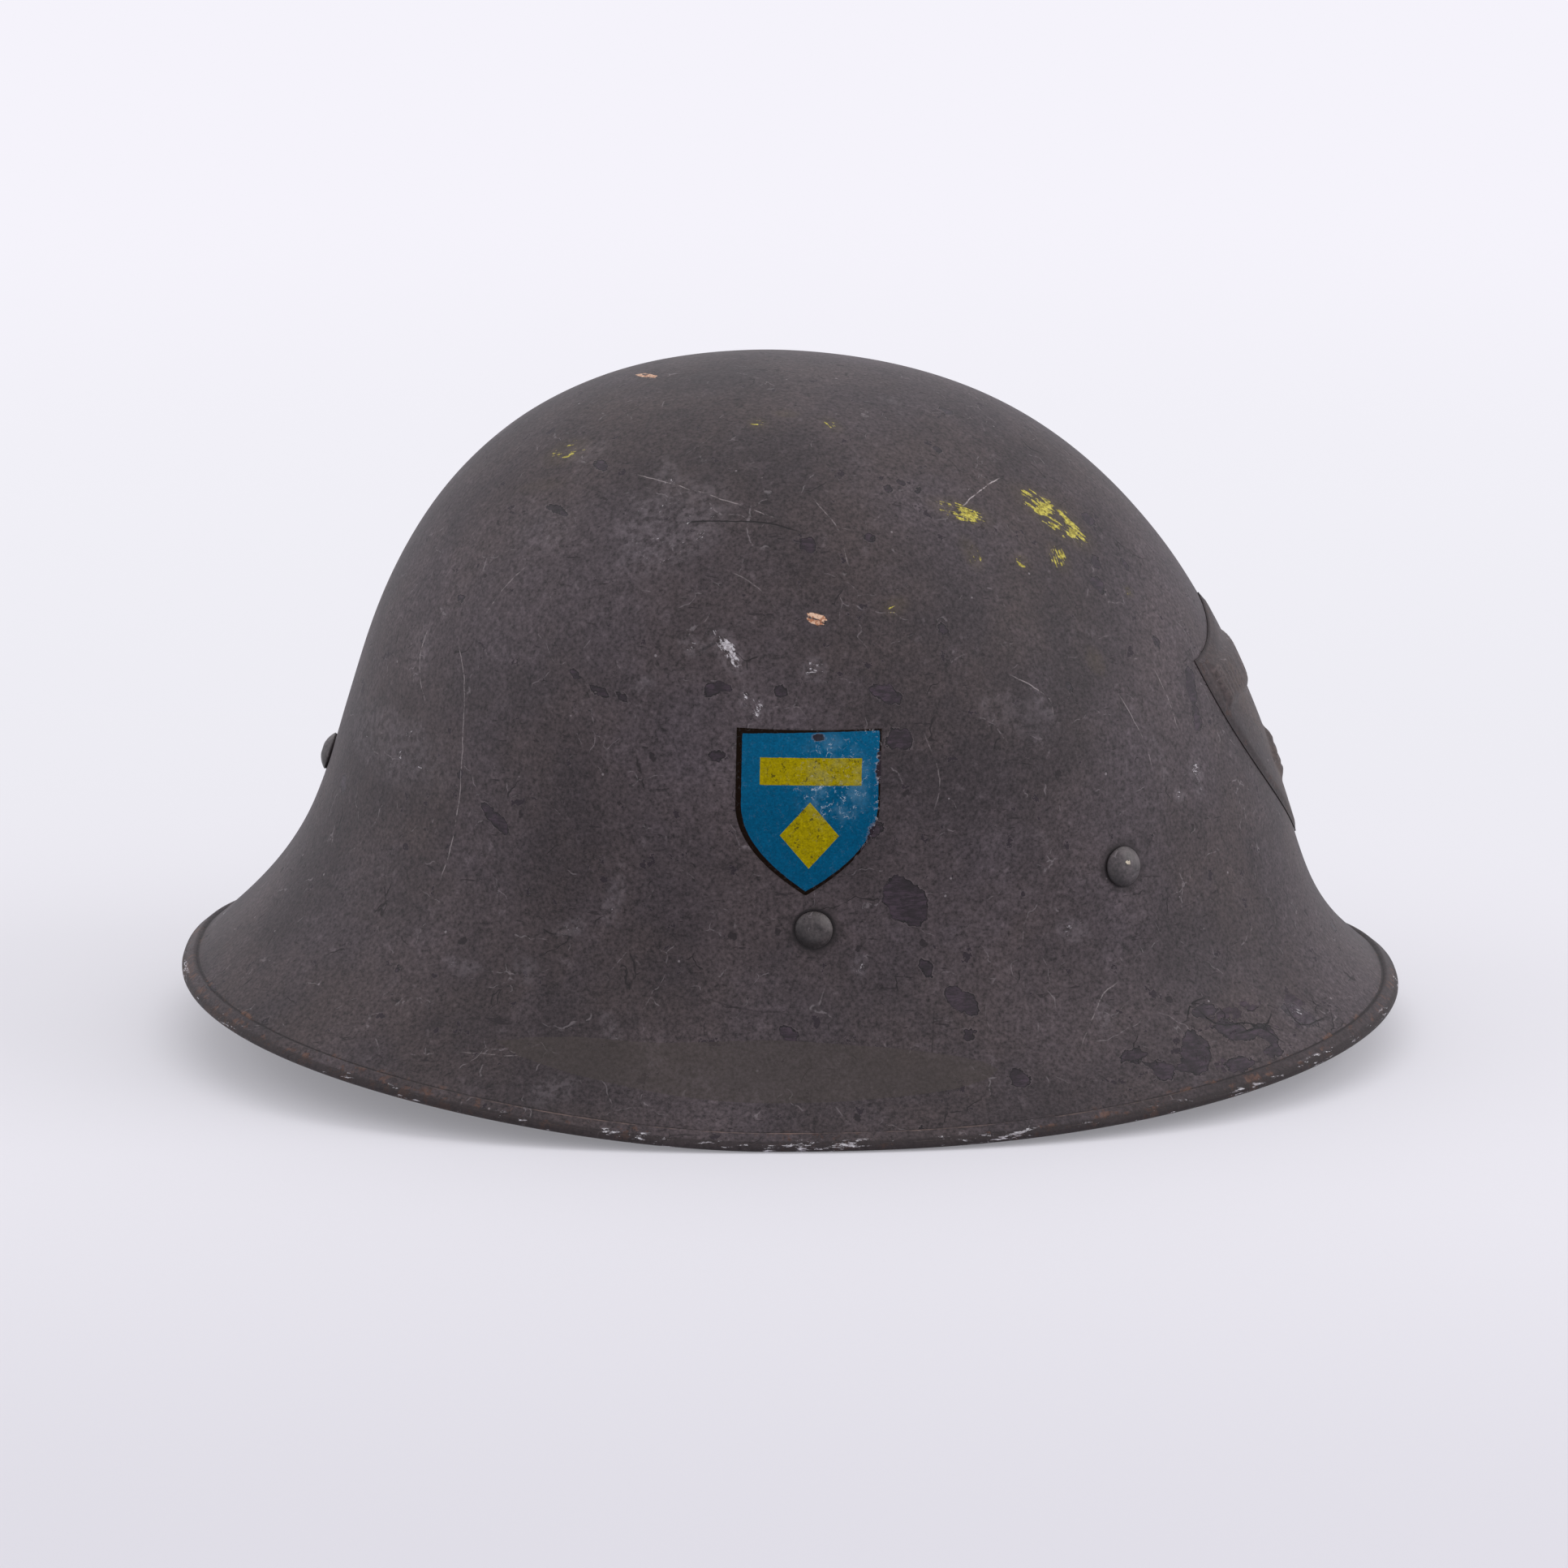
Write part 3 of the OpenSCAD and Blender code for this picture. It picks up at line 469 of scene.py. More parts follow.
    @staticmethod
    def revolve(name: str, outline: Sequence[tuple[float, float]], place: Place, wobble: float = 0.0,
                turns: int = 56, seed: int = 1) -> Piece:
        """A solid of revolution about a place's Z axis.

        Args:
            name: Name of the piece.
            outline: Rows of (radius, height), from one end of the axis to the other.
            place: Origin and axes of the part.
            wobble: How far a point leaves the round form, as a share of its radius.
            turns: Number of points round the axis.
            seed: Seed of the wobble.

        Returns:
            The new object.
        """
        rng = np.random.default_rng(seed)
        angle = np.arange(turns) * 2 * math.pi / turns
        phase = rng.uniform(0, 6.28, 4)
        lumps = sum(np.sin(k * angle + phase[k - 2]) / k for k in (2, 3, 4))
        origin, x, y, z = place
        rings = []
        for radius, height in outline:
            r = radius * (1 + wobble * lumps)
            flat = np.outer(r * np.cos(angle), x) + np.outer(r * np.sin(angle), y)
            rings.append(origin + flat + height * z)
        return MeshKit.tube(name, np.array(rings))


# Shader arithmetic


class Wire:
    """A value inside a node tree that takes part in plain arithmetic."""

    def __init__(self, home: Nodes, socket: bpy.types.NodeSocket) -> None:
        """Wraps a socket of a node tree."""
        self.home, self.socket = home, socket

    def _math(self, kind: str, *others: Wire | float, clamp: bool = False) -> Wire:
        """One Math node."""
        return self.home.math(kind, self, *others, clamp=clamp)

    def __add__(self, other: Wire | float) -> Wire:
        """Sum."""
        return self._math("ADD", other)

    __radd__ = __add__

    def __mul__(self, other: Wire | float) -> Wire:
        """Product."""
        return self._math("MULTIPLY", other)

    __rmul__ = __mul__

    def __sub__(self, other: Wire | float) -> Wire:
        """Difference."""
        return self._math("SUBTRACT", other)

    def __rsub__(self, other: float) -> Wire:
        """Difference from a number."""
        return self.home.math("SUBTRACT", other, self)

    def __truediv__(self, other: Wire | float) -> Wire:
        """Quotient."""
        return self._math("DIVIDE", other)

    def __rtruediv__(self, other: float) -> Wire:
        """Quotient of a number."""
        return self.home.math("DIVIDE", other, self)

    def __pow__(self, other: float) -> Wire:
        """Power."""
        return self._math("POWER", other)

    def __neg__(self) -> Wire:
        """Opposite value."""
        return self * -1.0

    def __abs__(self) -> Wire:
        """Size without its sign."""
        return self._math("ABSOLUTE")

    def held(self) -> Wire:
        """The value held between 0 and 1."""
        return self._math("ADD", 0.0, clamp=True)

    def least(self, other: Wire | float) -> Wire:
        """The smaller of two values."""
        return self._math("MINIMUM", other)

    def most(self, other: Wire | float) -> Wire:
        """The larger of two values."""
        return self._math("MAXIMUM", other)

    def rise(self, low: float, high: float) -> Wire:
        """A smooth step.

        Args:
            low: Value at which it is 0.
            high: Value at which it is 1; below low, the step falls.

        Returns:
            The step as a wire.
        """
        if high < low:
            return 1.0 - self.rise(high, low)
        return self.home.node("ShaderNodeMapRange", {"interpolation_type": "SMOOTHSTEP"},
                              {"Value": self, "From Min": low, "From Max": high}, "Result")


class Nodes:
    """A node tree whose nodes are all made by one method."""

    def __init__(self, tree: bpy.types.NodeTree) -> None:
        """Empties a tree."""
        self.tree = tree
        tree.nodes.clear()

    def feed(self, socket: bpy.types.NodeSocket, value: object) -> None:
        """Links a wire to a socket, or sets the socket's own value.

        Args:
            socket: The socket.
            value: A wire or a value.
        """
        if isinstance(value, Wire):
            self.tree.links.new(value.socket, socket)
        else:
            socket.default_value = value

    def node(self, kind: str, settings: dict[str, object], values: dict[object, object],
             result: object) -> Wire:
        """Adds a node.

        Args:
            kind: Blender's name of the node type.
            settings: Properties of the node, set first.
            values: Values or wires for its inputs, by name or number.
            result: Name or number of the output to use.

        Returns:
            The output as a wire.
        """
        made = self.tree.nodes.new(kind)
        for key, value in settings.items():
            setattr(made, key, value)
        for key, value in values.items():
            self.feed(made.inputs[key], value)
        return Wire(self, made.outputs[result])

    def math(self, kind: str, *values: Wire | float, clamp: bool = False) -> Wire:
        """A Math node."""
        settings = {"operation": kind, "use_clamp": clamp}
        return self.node("ShaderNodeMath", settings, dict(enumerate(values)), 0)

    def seen(self) -> Wire:
        """1 for rays of the camera, of mirrors and of glass, and 0 for others."""
        rays = [self.node("ShaderNodeLightPath", {}, {}, f"Is {kind} Ray")
                for kind in ("Camera", "Glossy", "Transmission")]
        return rays[0].most(rays[1]).most(rays[2])


class Shader(Nodes):
    """A material's node tree round one Principled shader."""

    def __init__(self, name: str) -> None:
        """Starts an empty material.

        Args:
            name: Name of the material.
        """
        self.material = bpy.data.materials.new(name)
        self.material.use_nodes = True
        super().__init__(self.material.node_tree)
        self.output = self.tree.nodes.new("ShaderNodeOutputMaterial")
        self.body = self.tree.nodes.new("ShaderNodeBsdfPrincipled")
        self.tree.links.new(self.body.outputs[0], self.output.inputs["Surface"])
        self.colour: Wire | None = None
        self._place: Wire | None = None

    def vector(self, kind: str, *values: object, result: str = "Vector") -> Wire:
        """A Vector Math node."""
        return self.node("ShaderNodeVectorMath", {"operation": kind}, dict(enumerate(values)), result)

    @property
    def place(self) -> Wire:
        """The point in the object's own space.

        Returns:
            The point in millimetres.
        """
        if self._place is None:
            here = self.node("ShaderNodeTexCoord", {}, {}, "Object")
            self._place = self.vector("MULTIPLY", here, (1000.0, 1000.0, 1000.0))
        return self._place

    def value(self, name: str) -> Wire:
        """A number stored on the mesh."""
        return self.node("ShaderNodeAttribute", {"attribute_name": name}, {}, "Fac")

    def stored(self, name: str) -> Wire:
        """A vector stored on the mesh."""
        return self.node("ShaderNodeAttribute", {"attribute_name": name}, {}, "Vector")

    def part(self, vector: Wire, axis: int) -> Wire:
        """One part of a vector."""
        return self.node("ShaderNodeSeparateXYZ", {}, {0: vector}, axis)

    def noise(self, size: float, detail: float = 3.0, rough: float = 0.55, at: Wire | None = None,
              shift: float = 0.0, warp: float = 0.0) -> Wire:
        """Soft noise from 0 to 1.

        Args:
            size: Size of its largest features in millimetres.
            detail: Number of finer layers.
            rough: Share of each finer layer.
            at: Place to read it at, or the point in space.
            shift: Offset that gives another pattern.
            warp: How far the pattern is bent.

        Returns:
            The noise as a wire.
        """
        at = self.place if at is None else at
        if shift:
            at = self.vector("ADD", at, (shift * 31.7, shift * -17.3, shift * 11.9))
        return self.node("ShaderNodeTexNoise", {"noise_dimensions": "3D"},
                         {"Vector": at, "Scale": 1.0 / size, "Detail": detail, "Roughness": rough,
                          "Distortion": warp}, 0)

    def cells(self, size: float, feature: str = "F1", at: Wire | None = None,
              result: str = "Distance") -> Wire:
        """A Voronoi pattern with cells of a size in millimetres."""
        return self.node("ShaderNodeTexVoronoi", {"feature": feature},
                         {"Vector": self.place if at is None else at, "Scale": 1.0 / size}, result)

    def stretched(self, x: float, y: float, z: float, at: Wire | None = None) -> Wire:
        """The place with each axis scaled."""
        return self.vector("MULTIPLY", self.place if at is None else at, (x, y, z))

    def bent(self, size: float, by: float, shift: float = 0.0, at: Wire | None = None,
             detail: float = 3.0) -> Wire:
        """The place, bent by noise.

        Args:
            size: Size of the noise in millimetres.
            by: How far it bends, in millimetres.
            shift: Offset that gives another pattern.
            at: Where it is sampled, if not at the surface's own place.
            detail: Levels of detail of the noise.

        Returns:
            The bent place.
        """
        at = self.place if at is None else at
        moved = self.vector("ADD", at, (shift * 13.7, shift * 7.3, shift * -9.1)) if shift else at
        swirl = self.node("ShaderNodeTexNoise", {"noise_dimensions": "3D"},
                          {"Vector": moved, "Scale": 1 / size, "Detail": detail}, "Color")
        bend = self.vector("SUBTRACT", swirl, (0.5, 0.5, 0.5))
        return self.vector("ADD", at, self.stretched(by, by, by, at=bend))

    def mix(self, first: object, second: object, share: Wire | float) -> Wire:
        """A mix of two colours."""
        return self.node("ShaderNodeMix", {"data_type": "RGBA", "clamp_factor": True},
                         {0: share, 6: first, 7: second}, 2)

    def lay(self, colour: object, share: Wire | float) -> None:
        """Lays a colour over the colour so far."""
        self.colour = self.mix(self.colour, colour, share)

    def relief(self, height: Wire) -> Wire:
        """A bumped normal from a height in millimetres."""
        return self.node("ShaderNodeBump", {}, {"Height": height, "Distance": MM}, "Normal")

    def finish(self, **values: object) -> Material:
        """Sets the Principled shader's inputs, with underscores for spaces, and returns the material."""
        for key, value in values.items():
            self.feed(self.body.inputs[key.replace("_", " ")], value)
        return self.material


# Wear


class Mark(Enum):
    """Kinds of wear that are placed one by one."""

    YELLOW = "yellow"
    CHALK = "chalk"
    CHIP = "chip"
    CRACK = "crack"
    PEACH = "peach"


class Stroke(Enum):
    """Kinds of thin lines that are placed one by one."""

    LIGHT = 1
    DARK = -1


# Each mark: turn in degrees, place s, heading in degrees from level, length, width, and strength if not 1
MARKS: dict[Mark, list[tuple[float, ...]]] = {
    Mark.YELLOW: [
        (-52, 0.5, -15, 16, 6, 0.95), (-32, 0.5, -45, 24, 11), (-37, 0.575, -85, 7, 6, 0.9),
        (-45, 0.59, -25, 3, 3, 0.9), (-54, 0.585, -70, 8, 4, 0.85), (-70, 0.71, 35, 6, 3, 0.8),
        (-93, 0.3, -10, 4, 3, 0.8), (-39, 0.75, -60, 6, 4, 0.75), (-26, 0.63, -60, 2, 2, 0.9),
        (-141, 0.43, 30, 12, 9, 0.75), (-84, 0.27, 0, 5, 2, 0.8), (-71, 0.3, -65, 6, 3, 0.8),
        (-140, 0.52, 20, 14, 3, 0.4),
    ],
    Mark.CHALK: [
        (-108, 0.56, 50, 29, 22, 0.5), (-110, 0.48, -65, 21, 5, 0.5), (-96, 0.815, -55, 12, 4, 0.85),
        (-83, 0.85, 0, 5, 4, 0.8), (-92, 0.92, -45, 8, 3, 0.9), (-101, 0.81, -15, 6, 3, 0.6),
        (-26, 1.84, -40, 11, 7, 0.45), (-148, 1.13, 45, 14, 12, 0.5), (-159, 1.17, -5, 20, 7, 0.4),
        (-115, 1.93, 25, 10, 4, 0.5), (-50, 0.84, -40, 8, 1.5, 0.6), (-33, 0.89, -65, 12, 1, 0.5),
        (-27, 0.92, -90, 4, 1, 0.8), (-49, 1.39, -5, 7, 4, 0.6), (-27, 0.9, 0, 4, 3, 0.8),
        (-31, 0.94, 0, 2.5, 2, 0.8), (-118, 1.51, 30, 6, 2, 0.8), (-123, 1.65, -30, 5, 4, 0.5),
        (-112, 1.4, -105, 11, 2.5, 0.6), (-110, 1.79, -60, 11, 2.5, 0.6), (-131, 1.68, 0, 9, 2, 0.5),
        (-77, 1.56, 80, 4, 1.5, 0.9), (-48, 1.71, 70, 6, 2, 0.7), (-153, 1.14, -5, 48, 15, 0.4),
        (-43, 0.22, -20, 3.5, 3, 0.5), (-108, 0.89, 35, 5, 2, 0.4), (-150, 0.92, -70, 15, 8, 0.25),
        (-135, 0.42, 25, 10, 7, 0.3), (-54, 0.87, -5, 21, 8, 0.2), (-133, 0.61, -5, 18, 11, 0.2),
    ],
    Mark.CHIP: [
        (-73, 0.88, -10, 8, 4), (-70.5, 1.35, -45, 14, 9), (-64, 1.65, -35, 10, 5), (-60, 1.87, -45, 5, 5),
        (-130, 1.24, -35, 12, 3), (-98, 0.895, 35, 4.5, 3), (-88, 0.895, -20, 3, 2), (-71.5, 0.96, 0, 7, 5),
        (-75, 1.165, 60, 5, 3), (-68, 1.55, -65, 5, 2.5), (-128, 0.45, -25, 5, 2), (-132, 0.565, -10, 8, 2),
        (-24, 0.505, -20, 5.5, 3.5), (-30, 0.52, -95, 3, 6), (-32, 0.62, -25, 4, 4), (-63, 0.74, -20, 3, 2),
        (-47, 0.36, -60, 2.5, 2.5), (-87, 1.755, -45, 5, 3), (-64, 1.75, -55, 4, 3), (-63, 1.85, -20, 3, 2),
        (-47, 1.84, 5, 7, 4), (-42, 1.9, 5, 10, 3), (-37, 1.93, 5, 10, 4), (-118, 0.89, -25, 5, 1.5),
        (-114.5, 0.915, -20, 4.5, 2), (-111, 0.92, -30, 4.5, 1.5), (-22, 0.775, -105, 11, 4.5),
        (-23.5, 0.825, -105, 5.5, 3.5), (-163.5, 1.31, -25, 5, 3.5), (-144, 0.79, -20, 3.5, 1.5),
        (-61.5, 0.445, -70, 2, 1.5), (-58.5, 0.46, -10, 2, 2.5), (-36.5, 1.735, -30, 3, 2.5),
        (-161.5, 1.97, 0, 5.5, 2), (-150, 1.96, 0, 4.5, 2), (-13.5, 0.83, -80, 2, 2.5),
        (-72.5, 1.97, 20, 2.5, 2.5), (-40.5, 1.865, -115, 13, 8), (-35, 1.82, -30, 12, 5),
        (-36.5, 1.725, 5, 8.5, 3), (-45, 1.9, -40, 6.5, 4.5), (-31.5, 1.86, -65, 7, 5),
        (-26, 1.84, -50, 11, 5.5), (-32.5, 1.925, 0, 7, 2.5), (-29.5, 0.58, -110, 5, 2.5),
        (-23, 0.585, -55, 3.5, 2), (-25.5, 0.71, -80, 3, 2.5), (-45, 0.805, -25, 3, 2),
        (-37, 1.03, 65, 4, 1.5), (-129, 0.445, 50, 3, 3), (-65, 0.465, -5, 2, 2),
        (-29.5, 0.26, -35, 2.5, 3.5), (-83, 0.6, -55, 4.5, 3.5), (-72, 0.575, 10, 3.5, 1.5),
        (-96.5, 0.885, -15, 4, 1.5), (-139, 1.735, -30, 2, 1.5), (-136.5, 1.15, -45, 2, 1.5),
        (-97, 1.02, 10, 4, 2.5),
    ],
    Mark.PEACH: [(-82.5, 0.75, -15, 5, 3), (-162, 0.185, 10, 12, 3.5, 0.9)],
    Mark.CRACK: [
        (-30, 1.8, -5, 53, 14), (-27, 0.44, -70, 23, 21, 0.5), (-18, 0.735, -65, 25, 25, 0.6),
        (-115, 0.9, -10, 18, 8, 0.6), (-26, 0.26, -80, 13, 17, 0.6), (-129, 0.45, -20, 16, 9, 0.4),
        (-98, 0.9, -30, 12, 6, 0.6), (-41, 1.89, -20, 39, 7, 0.8), (-57, 1.14, -40, 11, 6, 0.3),
    ],
}

# Each line: strength and its points as (turn in degrees, place s)
LINES: dict[Stroke, list[tuple[float, list[tuple[float, float]]]]] = {
    Stroke.LIGHT: [
        (0.35, [(-141.5, 0.87), (-138, 0.96), (-136.5, 1.14), (-136.5, 1.29), (-137.5, 1.46)]),
        (0.4, [(-150, 0.85), (-149.5, 0.94), (-145.5, 1.02)]),
        (0.4, [(-121.5, 0.455), (-104, 0.485), (-88, 0.545)]),
        (0.8, [(-52, 0.495), (-45.5, 0.455), (-37, 0.42)]),
        (0.4, [(-54.5, 0.8), (-49, 0.825), (-48.5, 0.86)]),
        (0.3, [(-137.5, 0.81), (-134.5, 0.725), (-131, 0.675)]),
        (0.3, [(-81.5, 0.49), (-77.5, 0.56), (-76.5, 0.645)]),
        (0.25, [(-115, 1.83), (-120, 1.87), (-127, 1.89)]),
        (0.3, [(-52, 1.8), (-47.5, 1.64), (-44.5, 1.57)]),
        (0.35, [(-28.5, 0.75), (-28, 0.795), (-28, 0.845)]),
        (0.3, [(-37, 0.795), (-35, 0.86), (-34.5, 0.91)]),
        (0.2, [(-97.5, 0.65), (-92, 0.685), (-87.5, 0.75)]), (0.2, [(-68, 0.935), (-66, 1.02), (-67, 1.1)]),
    ],
    Stroke.DARK: [
        (0.7, [(-106, 0.56), (-96.5, 0.55), (-89.5, 0.555), (-83.5, 0.575)]),
        (0.8, [(-19, 0.34), (-20.5, 0.365), (-17.5, 0.38)]),
        (0.8, [(-34, 0.98), (-32.5, 0.965), (-32.5, 0.955)]),
        (0.7, [(-38, 1.06), (-37.5, 1.035), (-36.5, 1.045)]),
        (0.8, [(-26, 0.695), (-25.5, 0.715), (-26, 0.73)]), (0.5, [(-26, 0.42), (-23.5, 0.43), (-22, 0.46)]),
        (0.35, [(-67.5, 1.645), (-68.5, 1.76), (-70, 1.865)]),
        (0.4, [(-120.5, 1.85), (-115.5, 1.845), (-114.5, 1.85)]),
        (0.9, [(-37.5, 1.705), (-36, 1.785), (-32, 1.82), (-30.5, 1.93)]),
        (0.8, [(-39.5, 1.765), (-37.5, 1.69), (-35, 1.675)]),
        (0.7, [(-26.5, 1.75), (-27, 1.87), (-22.5, 1.89)]),
        (0.7, [(-35.5, 1.835), (-31, 1.83), (-28.5, 1.775)]),
        (0.3, [(-99.5, 1.655), (-95, 1.685), (-85, 1.705)]),
        (0.4, [(-50, 0.375), (-46.5, 0.385), (-46.5, 0.43)]),
    ],
}


class WearField:
    """Wear as smooth numbers on the points of the shell, which the paint's shader sharpens with noise."""

    REACH = 3.0
    APART = 7.3

    def __init__(self, form: ShellForm, points: Array, normals: Array) -> None:
        """Starts with no wear on any point.

        Args:
            form: The shell's form.
            points: Points of the outer face, in millimetres.
            normals: Directions out of the face at these points.
        """
        self.form, self.points, self.normals = form, points, normals
        count = len(points)
        self.fields = {kind: np.zeros(count) for kind in Mark}
        self.stroke = np.zeros((count, 3))
        self.line_at, self.line_weight = np.full(count, 9.0), np.zeros(count)
        self._best, self._near = np.zeros(count), np.full(count, 99.0)

    def _frame(self, turn: float, s: float) -> tuple[Array, Array, Array]:
        """Point, level direction and upward direction at a place of the shell.

        Args:
            turn: Turn in degrees.
            s: Place down the profile.

        Returns:
            The point and the two directions.
        """
        a = math.radians(turn)
        place, out = self.form.face(s, a), self.form.outward(s, a)
        level = unit(self.form.face(s, a + 1e-3) - self.form.face(s, a - 1e-3))
        up = np.cross(out, level)
        return place, level, up if up[2] > 0 or abs(turn) < 1 else -up

    def blot(self, kind: Mark, turn: float, s: float, heading: float, length: float, width: float,
             strength: float = 1.0, seed: float = 0.0) -> None:
        """Adds an oval patch of wear.

        Args:
            kind: Kind of wear.
            turn: Turn of its middle, in degrees.
            s: Place of its middle down the profile.
            heading: Direction of its length, in degrees from level to up.
            length: Length in millimetres.
            width: Width in millimetres.
            strength: Strength from 0 to 1.
            seed: Number that sets its noise apart.
        """
        place, level, up = self._frame(turn, s)
        h = math.radians(heading)
        ahead, across = math.cos(h) * level + math.sin(h) * up, math.cos(h) * up - math.sin(h) * level
        near = np.flatnonzero(np.abs(self.points - place).max(axis=1) < max(length, width) + 7)
        offset = self.points[near] - place
        u, v = offset @ ahead, offset @ across
        if kind is Mark.CHIP:
            small = min(length, width) / 2
            rho = np.hypot(u / (length / 2), v / (width / 2))
            inside = np.where(rho < 1, (1 - rho) * small, -(np.hypot(u, v) * (1 - 1 / np.maximum(rho, 1))))
            self.fields[kind][near] = np.maximum(self.fields[kind][near], inside + self.REACH)
            return
        rho = np.hypot(u / (length / 2 + 0.8), v / (width / 2 + 0.8))
        weight = strength * ease((1.3 - rho) / 0.75)
        self.fields[kind][near] = np.maximum(self.fields[kind][near], weight)
        if kind is not Mark.CRACK:
            chosen = weight > self._best[near]
            picked = near[chosen]
            self._best[picked] = weight[chosen]
            self.stroke[picked] = np.stack([u[chosen], v[chosen], np.full(chosen.sum(), seed)], axis=1)

    def scratch(self, kind: Stroke, strength: float, places: list[tuple[float, float]]) -> None:
        """Adds a thin line through places of the shell.

        Args:
            kind: Light or dark.
            strength: Strength from 0 to 1.
            places: The line's points as (turn in degrees, place s).
        """
        corners = np.array([self.form.face(s, math.radians(turn)) for turn, s in places])
        ends = np.concatenate([2 * corners[:1] - corners[1:2], corners, 2 * corners[-1:] - corners[-2:-1]])
        path = []
        for p0, p1, p2, p3 in zip(ends, ends[1:], ends[2:], ends[3:]):
            for t in np.arange(0, 1, 1 / 8):
                path.append(0.5 * (2 * p1 + (p2 - p0) * t + (2 * p0 - 5 * p1 + 4 * p2 - p3) * t * t
                                   + (3 * p1 - p0 - 3 * p2 + p3) * t**3))
        path = np.array(path + [corners[-1]])
        low, high = path.min(axis=0) - 14, path.max(axis=0) + 14
        near = np.flatnonzero(((self.points > low) & (self.points < high)).all(axis=1))
        run = np.concatenate([[0], np.cumsum(np.linalg.norm(np.diff(path, axis=0), axis=1))])
        here, out = self.points[near], self.normals[near]
        best, signed, along = np.full(len(near), 99.0), np.full(len(near), 9.0), np.zeros(len(near))
        for i, (start, end) in enumerate(zip(path, path[1:])):
            step = end - start
            t = ((here - start) @ step) / (step @ step)
            held = np.clip(t, 0, 1)
            away = here - start - held[:, None] * step
            distance = np.linalg.norm(away, axis=1)
            closer = distance < best
            side = np.einsum("ij,ij->i", np.cross(unit(step)[None, :], away), out)
            best[closer], signed[closer] = distance[closer], side[closer]
            along[closer] = (run[i] + t * (run[i + 1] - run[i]))[closer]
        fade = ease(along / 4) * ease((run[-1] - along) / 4) * ease((4.2 - best) / 1.8)
        closer = best < self._near[near]
        picked = near[closer]
        self._near[picked] = best[closer]
        self.line_at[picked] = signed[closer]
        self.line_weight[picked] = kind.value * strength * fade[closer]

    def place_all(self, seed: int) -> None:
        """Adds the listed marks, and others like them where the photograph doesn't look.

        Args:
            seed: Seed of the marks that aren't listed.
        """
        rng = np.random.default_rng(seed)
        number = 0
        for kind, rows in MARKS.items():
            for row in rows:
                number += 1
                self.blot(kind, *row, seed=number * self.APART)
        for line, rows in LINES.items():
            for strength, places in rows:
                self.scratch(line, strength, places)
        scattered = {Mark.CHIP: (46, 5.5, 2.8, 1.0), Mark.CHALK: (20, 7.0, 2.6, 0.9),
                     Mark.YELLOW: (5, 6.0, 3.0, 0.7), Mark.CRACK: (9, 22.0, 9.0, 0.7)}
        for kind, (count, length, width, strength) in scattered.items():
            for _ in range(count):
                number += 1
                size = rng.lognormal(0, 0.45)
                turn, s = rng.uniform(-8, 178), rng.choice([rng.uniform(0.3, 1.1), rng.uniform(1.2, 1.94)])
                self.blot(kind, turn, s, rng.uniform(-60, 60), length * size,
                          width * size * rng.uniform(0.7, 1.2), strength * rng.uniform(0.5, 1),
                          seed=number * self.APART)
        for _ in range(18):
            turn, s = rng.uniform(5, 165), rng.uniform(0.35, 1.7)
            path = [(turn, s)]
            step = rng.uniform(-9, 9), rng.uniform(-0.1, 0.14)
            for _ in range(3):
                turn = turn + step[0] + rng.uniform(-2, 2)
                s = min(1.9, max(0.2, s + step[1]))
                path.append((turn, s))
            self.scratch(Stroke.LIGHT if rng.random() < 0.7 else Stroke.DARK, rng.uniform(0.2, 0.6), path)

    def store(self, piece: Piece, total: int) -> None:
        """Writes the numbers on a piece whose first points are the outer face's.

        Args:
            piece: The shell's object.
            total: Number of its points.
        """
        def full(values: Array, rest: float) -> Array:
            """Values followed by a rest value on the other points.

            Args:
                values: The values of the first points.
                rest: The value of the others.

            Returns:
                A value for each point.
            """
            out = np.full((total, *values.shape[1:]), rest)
            out[:len(values)] = values
            return out

        for kind, values in self.fields.items():
            MeshKit.write(piece, kind.value, full(values, 0.0))
        MeshKit.write(piece, "stroke", full(self.stroke, 0.0))
        MeshKit.write(piece, "line_at", full(self.line_at, 9.0))
        MeshKit.write(piece, "line_weight", full(self.line_weight, 0.0))


# Finishes


